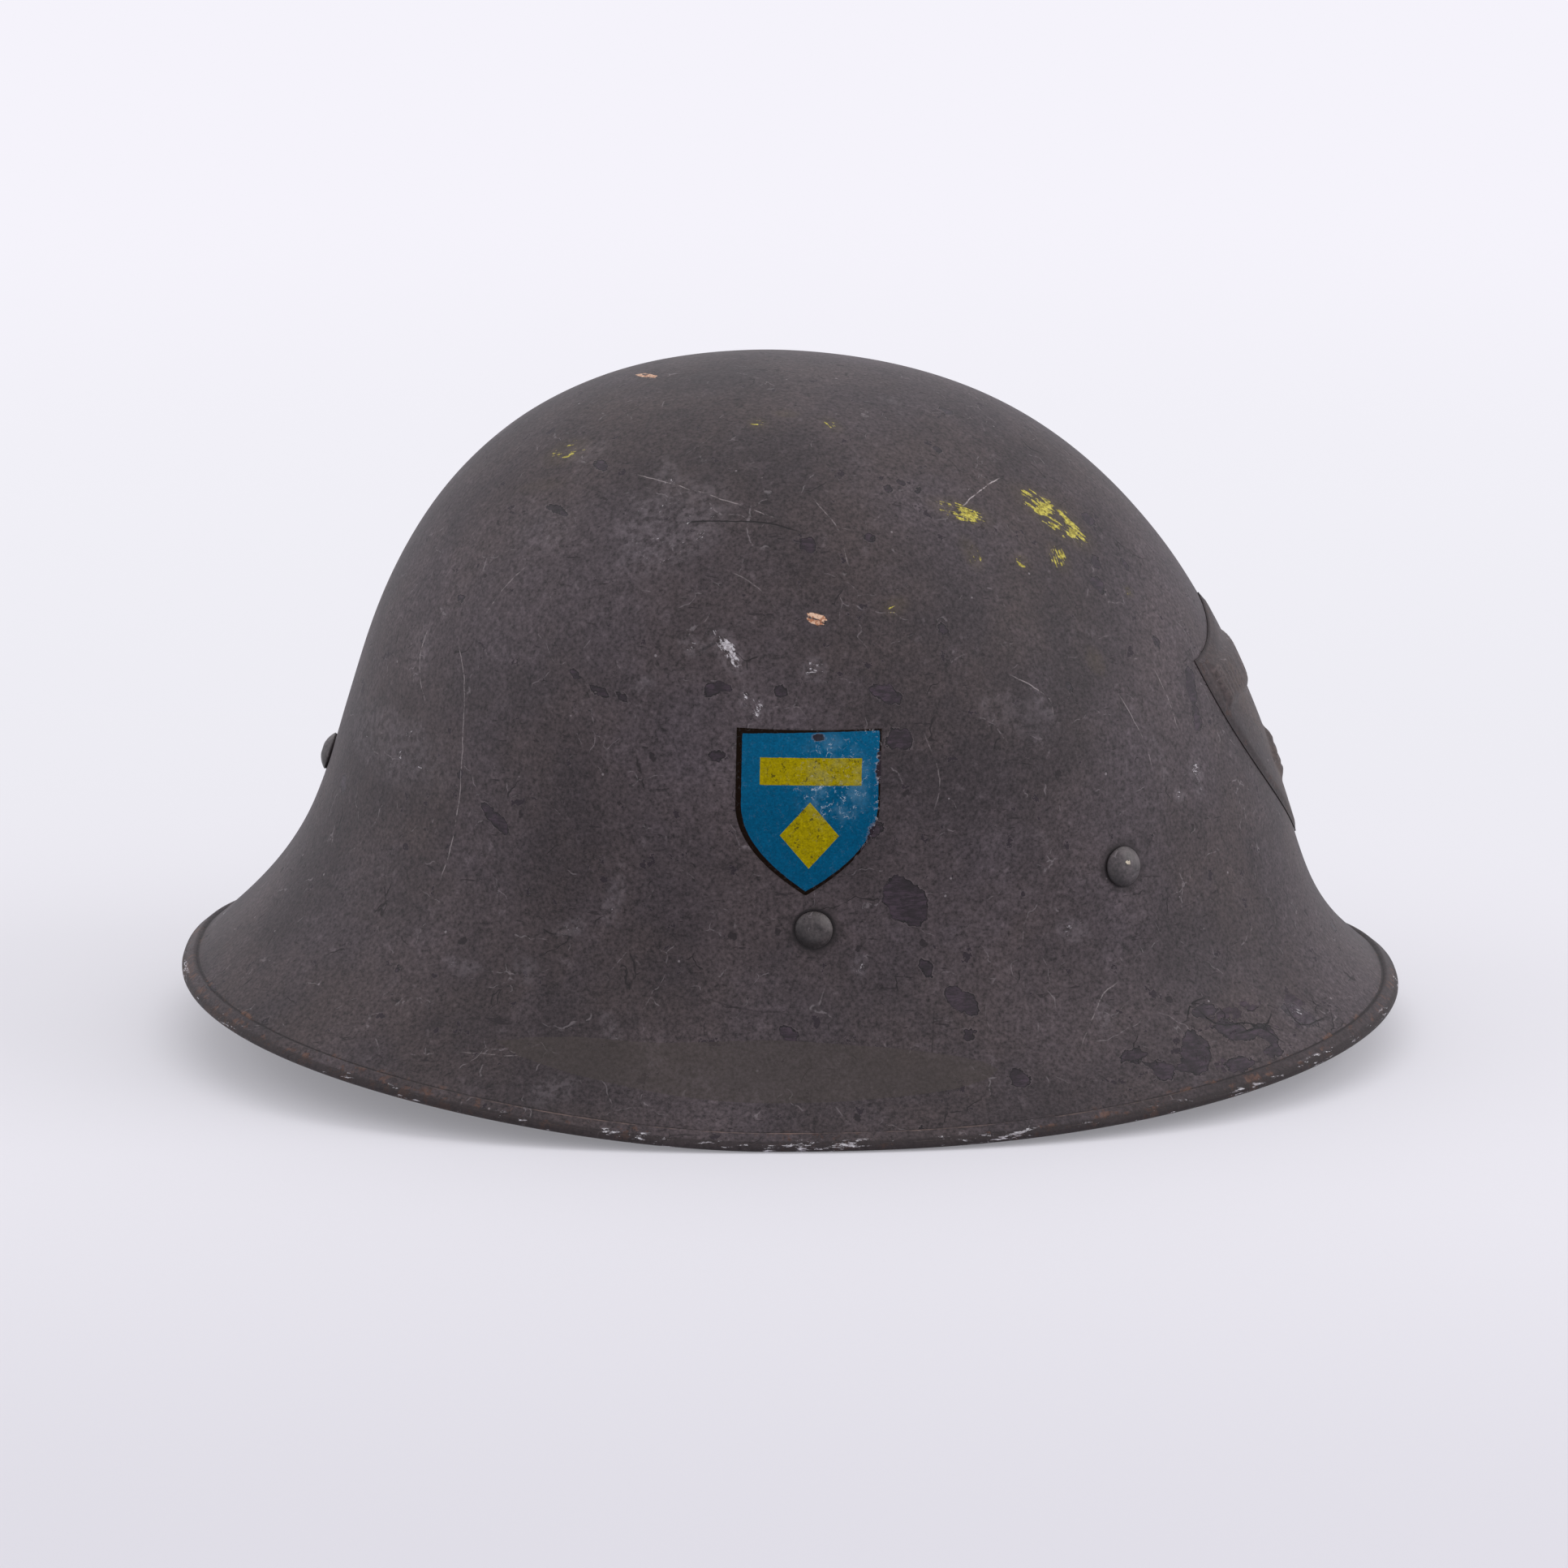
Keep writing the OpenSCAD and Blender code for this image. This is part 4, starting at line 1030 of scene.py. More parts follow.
@dataclass(frozen=True)
class PaintFinish:
    """Matte dark paint, mottled, hazed and worn."""

    name: str
    deep: Colour = srgb(51, 44, 47)
    warm: Colour = srgb(63, 54, 55)
    haze: Colour = srgb(88, 79, 85)
    bare: Colour = srgb(37, 29, 36)
    marked: bool = False
    rubbed: float = 0.0
    edged: bool = False
    flecked: float = 0.0
    smooth: float = 0.0
    cream: tuple[float, float, float] | None = None
    heads: tuple[tuple[float, float, float], ...] = ()

    def build(self) -> Material:
        """Makes the material.

        Returns:
            The material.
        """
        sh = Shader(self.name)
        broad, cloud = sh.noise(70, 3, 0.5, shift=1), sh.noise(17, 5, 0.62, shift=2, warp=0.4)
        mid, fine = sh.noise(5, 4, 0.6, shift=15), sh.noise(2.0, 4, 0.66, shift=3)
        grain = sh.noise(0.85, 2, 0.62, shift=4)
        dash = sh.noise(6, 4, 0.62, at=sh.stretched(1, 1, 4.6), shift=5, warp=0.5)
        sh.colour = sh.mix(self.deep, self.warm, sh.noise(28, 3, 0.6, shift=6).rise(0.35, 0.7))
        hazed = broad.rise(0.42, 0.72) * 0.36 + cloud.rise(0.5, 0.78) * 0.3
        sh.lay(self.haze, (hazed * (0.4 + fine * 1.2)).held())
        gain = 1.0 + (grain - 0.5) * 2.5 + (fine - 0.5) * 1.4 + (mid - 0.5) * 0.3
        sh.colour = sh.vector("MULTIPLY", sh.colour, gain.most(0.25))
        pale = (mid.rise(0.56, 0.72) * fine.rise(0.5, 0.62)) * 0.3
        sh.lay(srgb(112, 103, 108), pale)
        dent = dash.rise(0.655, 0.69)
        sh.lay(srgb(34, 28, 31), dent * 0.8)
        flake_noise = sh.noise(6.0, 5, 0.66, shift=23)
        flake = flake_noise.rise(0.652, 0.662)
        # Pale ring round each flake: a painted highlight on the broken paint's edge.
        sh.lay(srgb(104, 94, 98), (flake_noise.rise(0.638, 0.65) - flake).most(0.0) * 0.3)
        sh.lay(self.bare, flake * 0.9)
        some = sh.part(sh.cells(6.5, result="Color"), 0).rise(0.72, 0.76)
        dot = (sh.cells(6.5) + (grain - 0.5) * 0.06).rise(0.062, 0.04) * some
        sh.lay(srgb(140, 132, 136), dot * 0.6)
        pock_at = sh.vector("ADD", sh.place, (3.0, 5.0, 7.0))
        pock = ((sh.cells(11.0, at=pock_at) + (fine - 0.5) * 0.3).rise(0.1, 0.07)
                * sh.part(sh.cells(11.0, at=pock_at, result="Color"), 1).rise(0.6, 0.64))
        sh.lay(srgb(32, 26, 29), pock * 0.85)
        hairs = (self._web(sh, 15, 8, 0.011, 41) + self._web(sh, 27, 14, 0.007, 43)).held()
        hairs = hairs * sh.noise(1.6, 3, 0.7, shift=44).rise(0.4, 0.56)
        sh.lay(srgb(132, 124, 128), hairs * 0.42)
        splits = self._web(sh, 19, 9, 0.012, 47, 0.03)
        height = (fine * 0.07 + grain * 0.02 + cloud * 0.25 + mid * 0.06 - dent * 0.04 - pock * 0.06
                  - flake * 0.07 - splits * 0.06 - hairs * 0.01)
        sh.lay(srgb(27, 22, 24), splits * 0.85)
        rough = 0.62 - self.smooth + (fine - 0.5) * 0.24 + hazed * 0.1
        if self.heads:
            self._grime_and_shade(sh, mid, fine)
        if self.marked:
            height, rough = self._marks(sh, height, rough, fine, grain)
        if self.edged:
            height = self._edge(sh, height, fine)
        if self.cream:
            # Painted light on the heads: painted shade darkens each head towards its lower left, and a
            # painted highlight lightens it in places towards its upper right.
            painted_shading = sh.value("painted_shading")
            sh.lay(srgb(20, 17, 18), painted_shading.rise(0.42, 0.95) * 0.8)
            sh.lay(srgb(126, 119, 118), painted_shading.rise(0.34, 0.1) * (fine * 0.45))
            away = sh.vector("DISTANCE", sh.place, self.cream, result="Value")
            sh.lay(srgb(206, 192, 172), (away + (fine - 0.5) * 3.0).rise(1.3, 1.0) * 0.9)
        if self.rubbed:
            shine = sh.noise(2.4, 4, 0.7, shift=21).rise(0.62 - 0.2 * self.rubbed, 0.78)
            sh.lay(srgb(108, 100, 98), shine * 0.75 * self.rubbed)
            rough = rough - shine * 0.12
        return sh.finish(Base_Color=sh.colour, Roughness=rough.held(), Normal=sh.relief(height),
                         Sheen_Weight=0.04, Sheen_Roughness=0.6, Specular_IOR_Level=0.25 + self.smooth)

    @staticmethod
    def _web(sh: Shader, size: float, bend: float, width: float, shift: float, rare: float = 0.0) -> Wire:
        """Short broken lines of even width.

        Args:
            sh: The shader.
            size: Size in millimetres of the net they are parts of.
            bend: How far the net is bent, in millimetres.
            width: Half the lines' width as a share of the size.
            shift: Offset that gives another pattern.
            rare: How many fewer of them there are.

        Returns:
            The lines, from 0 to 1.
        """
        at = sh.vector("ADD", sh.bent(bend, bend, shift), (shift, -shift, shift * 0.7))
        line = sh.cells(size, "DISTANCE_TO_EDGE", at=at).rise(width, width * 0.4)
        return line * sh.noise(size * 0.5, 2, shift=shift).rise(0.57 + rare, 0.63 + rare)

    def _grime_and_shade(self, sh: Shader, mid: Wire, fine: Wire) -> None:
        """Darkens the paint round the rivet heads: a ring that is partly dirt and partly painted shade, and a
        thin painted contact shadow just outside each head's rim.

        Args:
            sh: The shader.
            mid: Middle noise.
            fine: Fine noise.
        """
        away = None
        for head in self.heads:
            reach = sh.vector("DISTANCE", sh.place, head, result="Value")
            away = reach if away is None else away.least(reach)
        # Darker ring round the heads, partly dirt and partly painted shade.
        ring = (away + (mid - 0.5) * 5.0 + (fine - 0.5) * 2.0).rise(7.6, 4.6)
        sh.lay(srgb(30, 25, 26), ring * 0.55)
        # Painted contact shadow just outside each head's rim.
        sh.lay(srgb(22, 18, 19), away.rise(5.6, 4.9) * 0.8)

    def _marks(self, sh: Shader, height: Wire, rough: Wire, fine: Wire,
               grain: Wire) -> tuple[Wire, Wire]:
        """Adds the wear that the mesh carries.

        Args:
            sh: The shader.
            height: Height so far, in millimetres.
            rough: Roughness so far.
            fine: Fine noise.
            grain: Finer noise.

        Returns:
            The new height and roughness.
        """
        zone = sh.value("crack")
        bent = sh.bent(7, 9)
        broken = sh.noise(4.5, 3, shift=16)
        crack = sh.cells(7.5, "DISTANCE_TO_EDGE", at=bent).rise(0.027, 0.01)
        crack = crack * (zone * 0.5 + (broken - 0.5) * 2.4).rise(0.5, 0.62)
        lift = sh.part(sh.cells(7.5, at=bent, result="Color"), 0)
        streaky = sh.noise(1.1, 4, 0.7, at=sh.stretched(0.35, 0.35, 1.6), shift=24)
        peeled = (zone * 0.8 + (lift - 0.5) * 0.55 + (broken - 0.5) * 1.2
                  + (fine - 0.5) * 0.4).rise(0.86, 0.9)
        purple = sh.mix(self.bare, srgb(63, 50, 61), streaky.rise(0.4, 0.64))
        sh.lay(purple, peeled * 0.8)
        sh.lay(srgb(20, 16, 18), crack * 0.9)
        field = (sh.value("chip") + 0.25 + (sh.noise(2.8, 4, 0.62, shift=17) - 0.5) * 4.0
                 + (grain - 0.5) * 0.5)
        chip = field.rise(3.0, 3.14)
        rim = (field.rise(2.66, 2.92) - field.rise(2.96, 3.1)).most(0.0)
        step = (field.rise(2.98, 3.1) - field.rise(3.2, 3.5)).most(0.0)
        # Pale band just outside a chip: a painted highlight on the paint's broken edge.
        sh.lay(srgb(98, 88, 92), rim * broken.rise(0.4, 0.62) * 0.55)
        inner = sh.mix(purple, srgb(26, 20, 24), sh.noise(3.4, 4, 0.7, shift=18).rise(0.42, 0.66) * 0.75)
        sh.lay(inner, chip * 0.94)
        # Dark band just inside a chip's edge: painted shadow under the paint's step.
        sh.lay(srgb(18, 14, 16), step * broken.rise(0.32, 0.5) * 0.9)
        at = sh.stored("stroke")
        dust = sh.value("chalk")
        clump = sh.noise(1.0, 3, 0.6, at=sh.stretched(0.22, 0.3, 1, at=at), shift=25)
        chalk_noise = sh.noise(1.0, 5, 0.74, at=sh.stretched(0.7, 1.7, 1, at=at), shift=26)
        chalk_noise = chalk_noise + (clump - 0.5) * 0.9
        chalk = (chalk_noise + (dust.held() ** 0.6) * 0.47).rise(1.0, 1.04) * dust.rise(0.02, 0.1)
        haze = dust * (1.05 - dust).most(0.0)
        sh.lay(srgb(150, 141, 148), haze * (fine.rise(0.4, 0.6) * 0.4 + fine * 0.1))
        white = sh.mix(srgb(160, 153, 158), srgb(206, 202, 208), grain.rise(0.4, 0.6))
        sh.lay(white, chalk * 0.85)
        streak = sh.noise(1.0, 5, 0.66, at=sh.stretched(0.16, 1.1, 1, at=at), shift=19)
        smear = sh.value("yellow")
        yellow = (streak + smear * 0.55 + (fine - 0.5) * 0.5 + (clump - 0.5) * 0.7).rise(1.04, 1.07)
        lemon = sh.mix(srgb(134, 122, 40), srgb(202, 190, 84), grain.rise(0.35, 0.65))
        sh.lay(srgb(96, 84, 52), smear * fine * 0.3)
        sh.lay(lemon, yellow * 0.92)
        peach = (streak + sh.value("peach") * 0.55 + (fine - 0.5) * 0.3).rise(0.95, 1.0)
        pink = sh.mix(srgb(168, 112, 82), srgb(226, 190, 164), grain.rise(0.4, 0.6))
        sh.lay(pink, peach * 0.9)
        weight = sh.value("line_weight")
        across = abs(sh.value("line_at") + (sh.noise(5, 3, shift=20) - 0.5) * 1.1)
        patchy = sh.noise(3, 4, 0.75, shift=22).rise(0.4, 0.58)
        light = across.rise(0.2, 0.08) * weight.most(0.0) * patchy
        dark = across.rise(0.3, 0.12) * (-weight).most(0.0)
        sh.lay(srgb(164, 154, 156), (light * 1.4).held())
        sh.lay(srgb(20, 16, 18), (dark * 1.3).held())
        sh.lay(srgb(62, 55, 51), sh.value("inside") * 0.5)
        height = height - crack * 0.12 + lift * zone * 0.07 - peeled * 0.08 - chip * 0.12 + rim * 0.03
        height = height + chalk * 0.03 + yellow * 0.03 - dark * 0.07 - light * 0.02
        return height, rough - chip * 0.12 + chalk * 0.12

    def _edge(self, sh: Shader, height: Wire, fine: Wire) -> Wire:
        """Adds rust, rubbed steel and pale flecks along the folded edge.

        Args:
            sh: The shader.
            height: Height so far, in millimetres.
            fine: Fine noise.

        Returns:
            The new height.
        """
        edge, across = sh.value("edge"), sh.part(sh.place, 0)
        patch = sh.noise(26, 3, 0.6, shift=31)
        left, ends = across.rise(-20, -90), abs(across).rise(55, 115)
        near = edge.rise(7.0, 0.5)
        sh.lay(srgb(36, 28, 28), edge.rise(4.4, 3.6) * across.rise(60, 125) * 0.5)
        rust = (sh.noise(3.2, 5, 0.7, shift=32) + near * (0.1 + left * 0.06)
                + (patch - 0.5) * 0.5).rise(0.66, 0.76) * near
        brown = sh.mix(srgb(70, 46, 38), srgb(106, 77, 65), fine.rise(0.35, 0.7))
        sh.lay(brown, rust * (0.3 + 0.45 * self.flecked))
        nose = edge.rise(1.1, 0.3)
        sh.lay(srgb(34, 27, 28), nose * 0.7)
        seam_at = sh.value("hem") + (fine - 0.5) * 0.35
        pale = abs(seam_at + 0.65).rise(0.5, 0.2) * sh.noise(9, 4, 0.65, shift=34).rise(0.42, 0.6)
        sh.lay(srgb(128, 106, 100), pale * (1.0 - ends) * 0.6)
        seam = abs(seam_at).rise(0.4, 0.14)
        sh.lay(srgb(24, 18, 18), seam * (0.35 + ends * 0.45))
        ochre = abs(seam_at - 0.4).rise(0.9, 0.3) * sh.noise(6, 5, 0.7, shift=35).rise(0.55, 0.65) * ends
        sh.lay(srgb(112, 78, 62), ochre * 0.6)
        window = abs(across + 16.0).rise(42, 16).most(abs(across - 46.0).rise(16, 5))
        fleck = (sh.noise(1.5, 5, 0.74, at=sh.stretched(0.3, 0.3, 1.5), shift=33) + (patch - 0.5) * 0.4
                 + window * 0.075).rise(0.63, 0.67) * edge.rise(1.5, 0.8)
        chalky = sh.mix(srgb(146, 140, 146), srgb(206, 203, 210), fine.rise(0.4, 0.6))
        sh.lay(chalky, fleck * 0.85 * self.flecked)
        return height - rust * 0.05 + fleck * 0.02 - seam * 0.08


@dataclass(frozen=True)
class BadgeFinish:
    """Glossy painted badge: a blue field with a bar and a lozenge in yellow, and a dark border."""

    name: str
    field_blue: Colour = srgb(0, 74, 108)
    yellow: Colour = srgb(147, 132, 0)
    border: Colour = srgb(20, 10, 4)
    chips: tuple[tuple[float, float, float, float], ...] = (
        (2.2, 18.8, 1.4, 0.9), (17.4, 10.6, 1.1, 2.3), (17.2, 14.4, 0.7, 0.9),
        (17.0, -5.4, 2.1, 3.0), (14.2, -9.0, 0.9, 1.2), (-14.8, -8.9, 0.6, 0.8))

    def build(self) -> Material:
        """Makes the material from the badge's own coordinates on the mesh.

        Returns:
            The material.
        """
        sh = Shader(self.name)
        at = sh.stored("badge")
        x, z = sh.part(at, 0), sh.part(at, 1)
        wave = (sh.noise(1.6, 3, 0.6, at=at) - 0.5) * 0.3
        fine, grain = sh.noise(0.9, 4, 0.65, at=at, shift=2), sh.noise(0.45, 2, 0.6, at=at, shift=3)
        bar = (12.3 - abs(x - 0.6) + wave).rise(-0.07, 0.07) * (3.4 - abs(z - 10.4) + wave).rise(-0.07, 0.07)
        lozenge = (1.0 - abs(x - 0.6) / 7.2 - abs(z + 5.6) / 8.4 + wave * 0.1).rise(-0.01, 0.01)
        device = (bar + lozenge).held()
        patchy = sh.noise(6, 4, 0.6, at=at, shift=4).rise(0.4, 0.8)
        blue = sh.mix(self.field_blue, srgb(4, 84, 120), patchy * 0.5)
        # The blue is lighter towards the top.
        blue = sh.mix(blue, srgb(10, 92, 130), z.rise(-4, 18) * 0.4)
        blue = sh.vector("MULTIPLY", blue, 1.0 + (grain - 0.5) * 1.0 + (fine - 0.5) * 0.7)
        gold = sh.vector("MULTIPLY", self.yellow[:3], 1.0 + (grain - 0.5) * 1.1 + (fine - 0.5) * 1.0)
        spots = sh.noise(1.2, 4, 0.75, at=at, shift=5).rise(0.57, 0.64)
        gold = sh.mix(gold, srgb(58, 54, 18), spots * 0.75)
        sh.colour = sh.mix(blue, gold, device)
        rim = sh.value("rim") + wave + x * 0.027
        sh.colour = sh.mix(self.border, sh.colour, rim.rise(0.84, 1.0))
        worn = (sh.noise(1.4, 4, 0.7, at=at, shift=6) - rim * 0.16).rise(0.5, 0.6) * (x + 6).rise(0, 20)
        sh.lay(srgb(84, 70, 66), worn * 0.5)
        damage = None
        for cx, cz, rx, rz in self.chips:
            spot = 1.0 - sh.math("SQRT", ((x - cx) / rx) ** 2.0 + ((z - cz) / rz) ** 2.0) + (fine - 0.5) * 1.3
            damage = spot if damage is None else damage.most(spot)
        chipped = damage.rise(-0.05, 0.05)
        # Pale ring round each chip: a painted highlight on the paint's broken edge.
        sh.lay(srgb(120, 112, 120), (damage.rise(-0.3, -0.1) - chipped).most(0.0) * 0.35)
        sh.lay(srgb(42, 35, 41), chipped)
        zone = (1.0 - sh.math("SQRT", ((x - 6.0) / 10.5) ** 2.0 + ((z - 8.0) / 13.0) ** 2.0)).rise(-0.1, 0.6)
        web = sh.cells(2.4, "DISTANCE_TO_EDGE", at=sh.bent(2, 5, at=at, detail=4.0))
        wrinkle_glint = web.rise(0.045, 0.012) * sh.noise(1.7, 4, 0.7, at=at, shift=7).rise(0.48, 0.6)
        # Painted reflection: a pale blue glare and pale glints along the wrinkles, in a zone above and right
        # of the middle, fainter on the yellow.
        bright = zone * (1.0 - device * 0.75)
        glare = sh.noise(4.5, 4, 0.6, at=at, shift=9).rise(0.42, 0.66) * bright
        sh.lay(srgb(96, 134, 160), glare * 0.46)
        sh.lay(srgb(196, 204, 216), (wrinkle_glint * (bright * 0.9 + 0.05)).held() * 0.62)
        scuff = rim.rise(2.4, 1.2) * x.rise(9, 15) * sh.noise(0.9, 4, 0.72, at=at, shift=10).rise(0.57, 0.63)
        sh.lay(srgb(172, 168, 174), scuff * 0.5)
        height = web.rise(0.0, 0.2) * zone * 0.07 + fine * 0.02 + device * 0.02 - chipped * 0.06
        rough = 0.42 + fine * 0.14 - zone * 0.1 + chipped * 0.2 + device * 0.08
        return sh.finish(Base_Color=sh.colour, Roughness=rough.held(), Normal=sh.relief(height),
                         Specular_IOR_Level=0.04)


@dataclass(frozen=True)
class LeatherFinish:
    """Old leather with pores, creases and rubbed places."""

    name: str
    deep: Colour
    light: Colour
    pore: float = 1.1
    crease: float = 7.0
    waxed: float = 0.0

    def build(self) -> Material:
        """Makes the material.

        Returns:
            The material.
        """
        sh = Shader(self.name)
        cloud, mid = sh.noise(24, 4, 0.6, shift=1), sh.noise(6, 5, 0.65, shift=2, warp=0.4)
        bent = sh.bent(1.2, 0.5)
        pebble = sh.cells(self.pore, "DISTANCE_TO_EDGE", at=bent)
        groove = pebble.rise(0.22, 0.02)
        bow = sh.bent(6, 3)
        fold = sh.cells(self.crease, "DISTANCE_TO_EDGE", at=bow)
        creased = fold.rise(0.09, 0.0) * mid.rise(0.42, 0.62)
        fine = sh.noise(0.7, 3, 0.6, shift=3)
        sh.colour = sh.mix(self.deep, self.light, (cloud * 0.6 + mid * 0.6 - 0.1).rise(0.3, 0.72))
        dark, worn = self._scaled(self.deep, 0.35), self._scaled(self.light, 1.7, 0.02)
        # Darker in the grain's grooves and in the creases: partly dirt, partly painted shade.
        sh.lay(dark, groove * 0.45 + creased * 0.6)
        rub = (mid * 0.7 + fine * 0.5).rise(0.66, 0.8)
        sh.lay(worn, rub * 0.45)
        stain = sh.noise(11, 4, 0.7, shift=5).rise(0.58, 0.72)
        sh.lay(self._scaled(self.deep, 0.4), stain * 0.55)
        height = pebble.rise(0.0, 0.3) * 0.06 + cloud * 0.3 - creased * 0.16 + fine * 0.02
        rough = 0.62 - self.waxed * 0.22 + (fine - 0.5) * 0.2 + creased * 0.1
        return sh.finish(Base_Color=sh.colour, Roughness=rough.held(), Normal=sh.relief(height),
                         Specular_IOR_Level=0.4)

    @staticmethod
    def _scaled(colour: Colour, by: float, plus: float = 0.0) -> Colour:
        """A colour made darker or lighter."""
        return (*(min(1.0, c * by + plus) for c in colour[:3]), 1.0)


@dataclass(frozen=True)
class ClothFinish:
    """Unbleached cotton with a plain weave."""

    name: str
    light: Colour = srgb(196, 184, 158)
    deep: Colour = srgb(150, 134, 104)
    thread: float = 0.9

    def build(self) -> Material:
        """Makes the material.

        Returns:
            The material.
        """
        sh = Shader(self.name)
        turn = 2 * math.pi / self.thread
        turned = sh.stretched(turn, turn, turn)
        waves = [sh.math("SINE", sh.part(turned, axis)) for axis in range(3)]
        weave = (waves[0] * waves[1] + waves[1] * waves[2] + waves[2] * waves[0]) * 0.33 + 0.5
        cloud, fibre = sh.noise(15, 4, 0.6, shift=1), sh.noise(0.6, 4, 0.7, shift=2)
        sh.colour = sh.mix(self.deep, self.light, (weave * 0.5 + cloud * 0.5 + fibre * 0.3 - 0.1).held())
        sh.lay(srgb(104, 84, 58), sh.noise(9, 5, 0.7, shift=3).rise(0.58, 0.74) * 0.6)
        return sh.finish(Base_Color=sh.colour, Roughness=(0.86 + (fibre - 0.5) * 0.1).held(),
                         Normal=sh.relief(weave * 0.16 + fibre * 0.05), Sheen_Weight=0.3)


@dataclass(frozen=True)
class SteelFinish:
    """Dull steel with drawn marks, dark oxide and a little rust."""

    name: str
    clean: Colour = srgb(150, 146, 142)
    oxide: Colour = srgb(66, 60, 57)
    rust: Colour = srgb(122, 74, 46)

    def build(self) -> Material:
        """Makes the material.

        Returns:
            The material.
        """
        sh = Shader(self.name)
        cloud, fine = sh.noise(5, 5, 0.65, shift=1, warp=0.5), sh.noise(0.6, 4, 0.65, shift=2)
        drawn = sh.noise(0.5, 2, 0.5, at=sh.stretched(0.08, 1, 1), shift=3)
        tarnish = (cloud + (fine - 0.5) * 0.4).rise(0.42, 0.62)
        rusty = (sh.noise(2.2, 5, 0.7, shift=4) + (cloud - 0.5) * 0.4).rise(0.58, 0.68)
        sh.colour = sh.mix(self.clean, self.oxide, tarnish * 0.85)
        sh.lay(srgb(176, 172, 168), drawn.rise(0.6, 0.75) * (1.0 - tarnish) * 0.5)
        sh.lay(sh.mix(self.rust, srgb(84, 48, 32), fine.rise(0.4, 0.65)), rusty * 0.85)
        rough = 0.36 + tarnish * 0.18 + rusty * 0.3 + (fine - 0.5) * 0.14
        height = drawn * 0.012 + rusty * fine * 0.06 + cloud * 0.03
        return sh.finish(Base_Color=sh.colour, Roughness=rough.held(), Metallic=(0.95 - rusty * 0.85).held(),
                         Normal=sh.relief(height))


@dataclass(frozen=True)
class ThreadFinish:
    """Waxed linen thread."""

    name: str
    colour: Colour = srgb(150, 130, 96)

    def build(self) -> Material:
        """Makes the material.

        Returns:
            The material.
        """
        sh = Shader(self.name)
        twist, dirt = sh.noise(0.5, 3, 0.6, at=sh.stretched(1, 1, 3)), sh.noise(4, 4, 0.6, shift=2)
        sh.colour = sh.mix(self.colour, srgb(96, 80, 56), (twist * 0.6 + dirt * 0.5).rise(0.4, 0.7))
        return sh.finish(Base_Color=sh.colour, Roughness=(0.6 + twist * 0.2).held(),
                         Normal=sh.relief(twist * 0.08))


class Finishes:
    """The materials of the helmet, made once."""

    def __init__(self) -> None:
        """Makes every material."""
        heads = [tuple(float(v) for v in FORM.face(*FORM.spot(*head))) for head in HEADS]
        self.shell = PaintFinish("shell_paint", marked=True, edged=True, flecked=1.0,
                                 heads=tuple(heads)).build()
        self.plate = PaintFinish("plate_paint", warm=srgb(68, 56, 52), rubbed=0.25, edged=True).build()
        self.pins = PaintFinish("pin_paint", deep=srgb(46, 41, 41), warm=srgb(56, 50, 49), rubbed=0.5,
                                smooth=0.16, cream=tuple(v * 1.012 for v in heads[1])).build()
        self.badge = BadgeFinish("badge_paint").build()
        self.steel = SteelFinish("dull_steel").build()
        self.band = LeatherFinish("band_leather", srgb(62, 42, 28), srgb(98, 68, 44)).build()
        self.pad = LeatherFinish("pad_leather", srgb(112, 80, 52), srgb(160, 122, 82), pore=1.3,
                                 crease=9).build()
        self.strap = LeatherFinish("strap_leather", srgb(56, 37, 25), srgb(92, 62, 40), pore=0.9,
                                   waxed=0.7).build()
        self.cloth = ClothFinish("stuffing_cotton").build()
        self.thread = ThreadFinish("linen_thread").build()


# Steel pieces


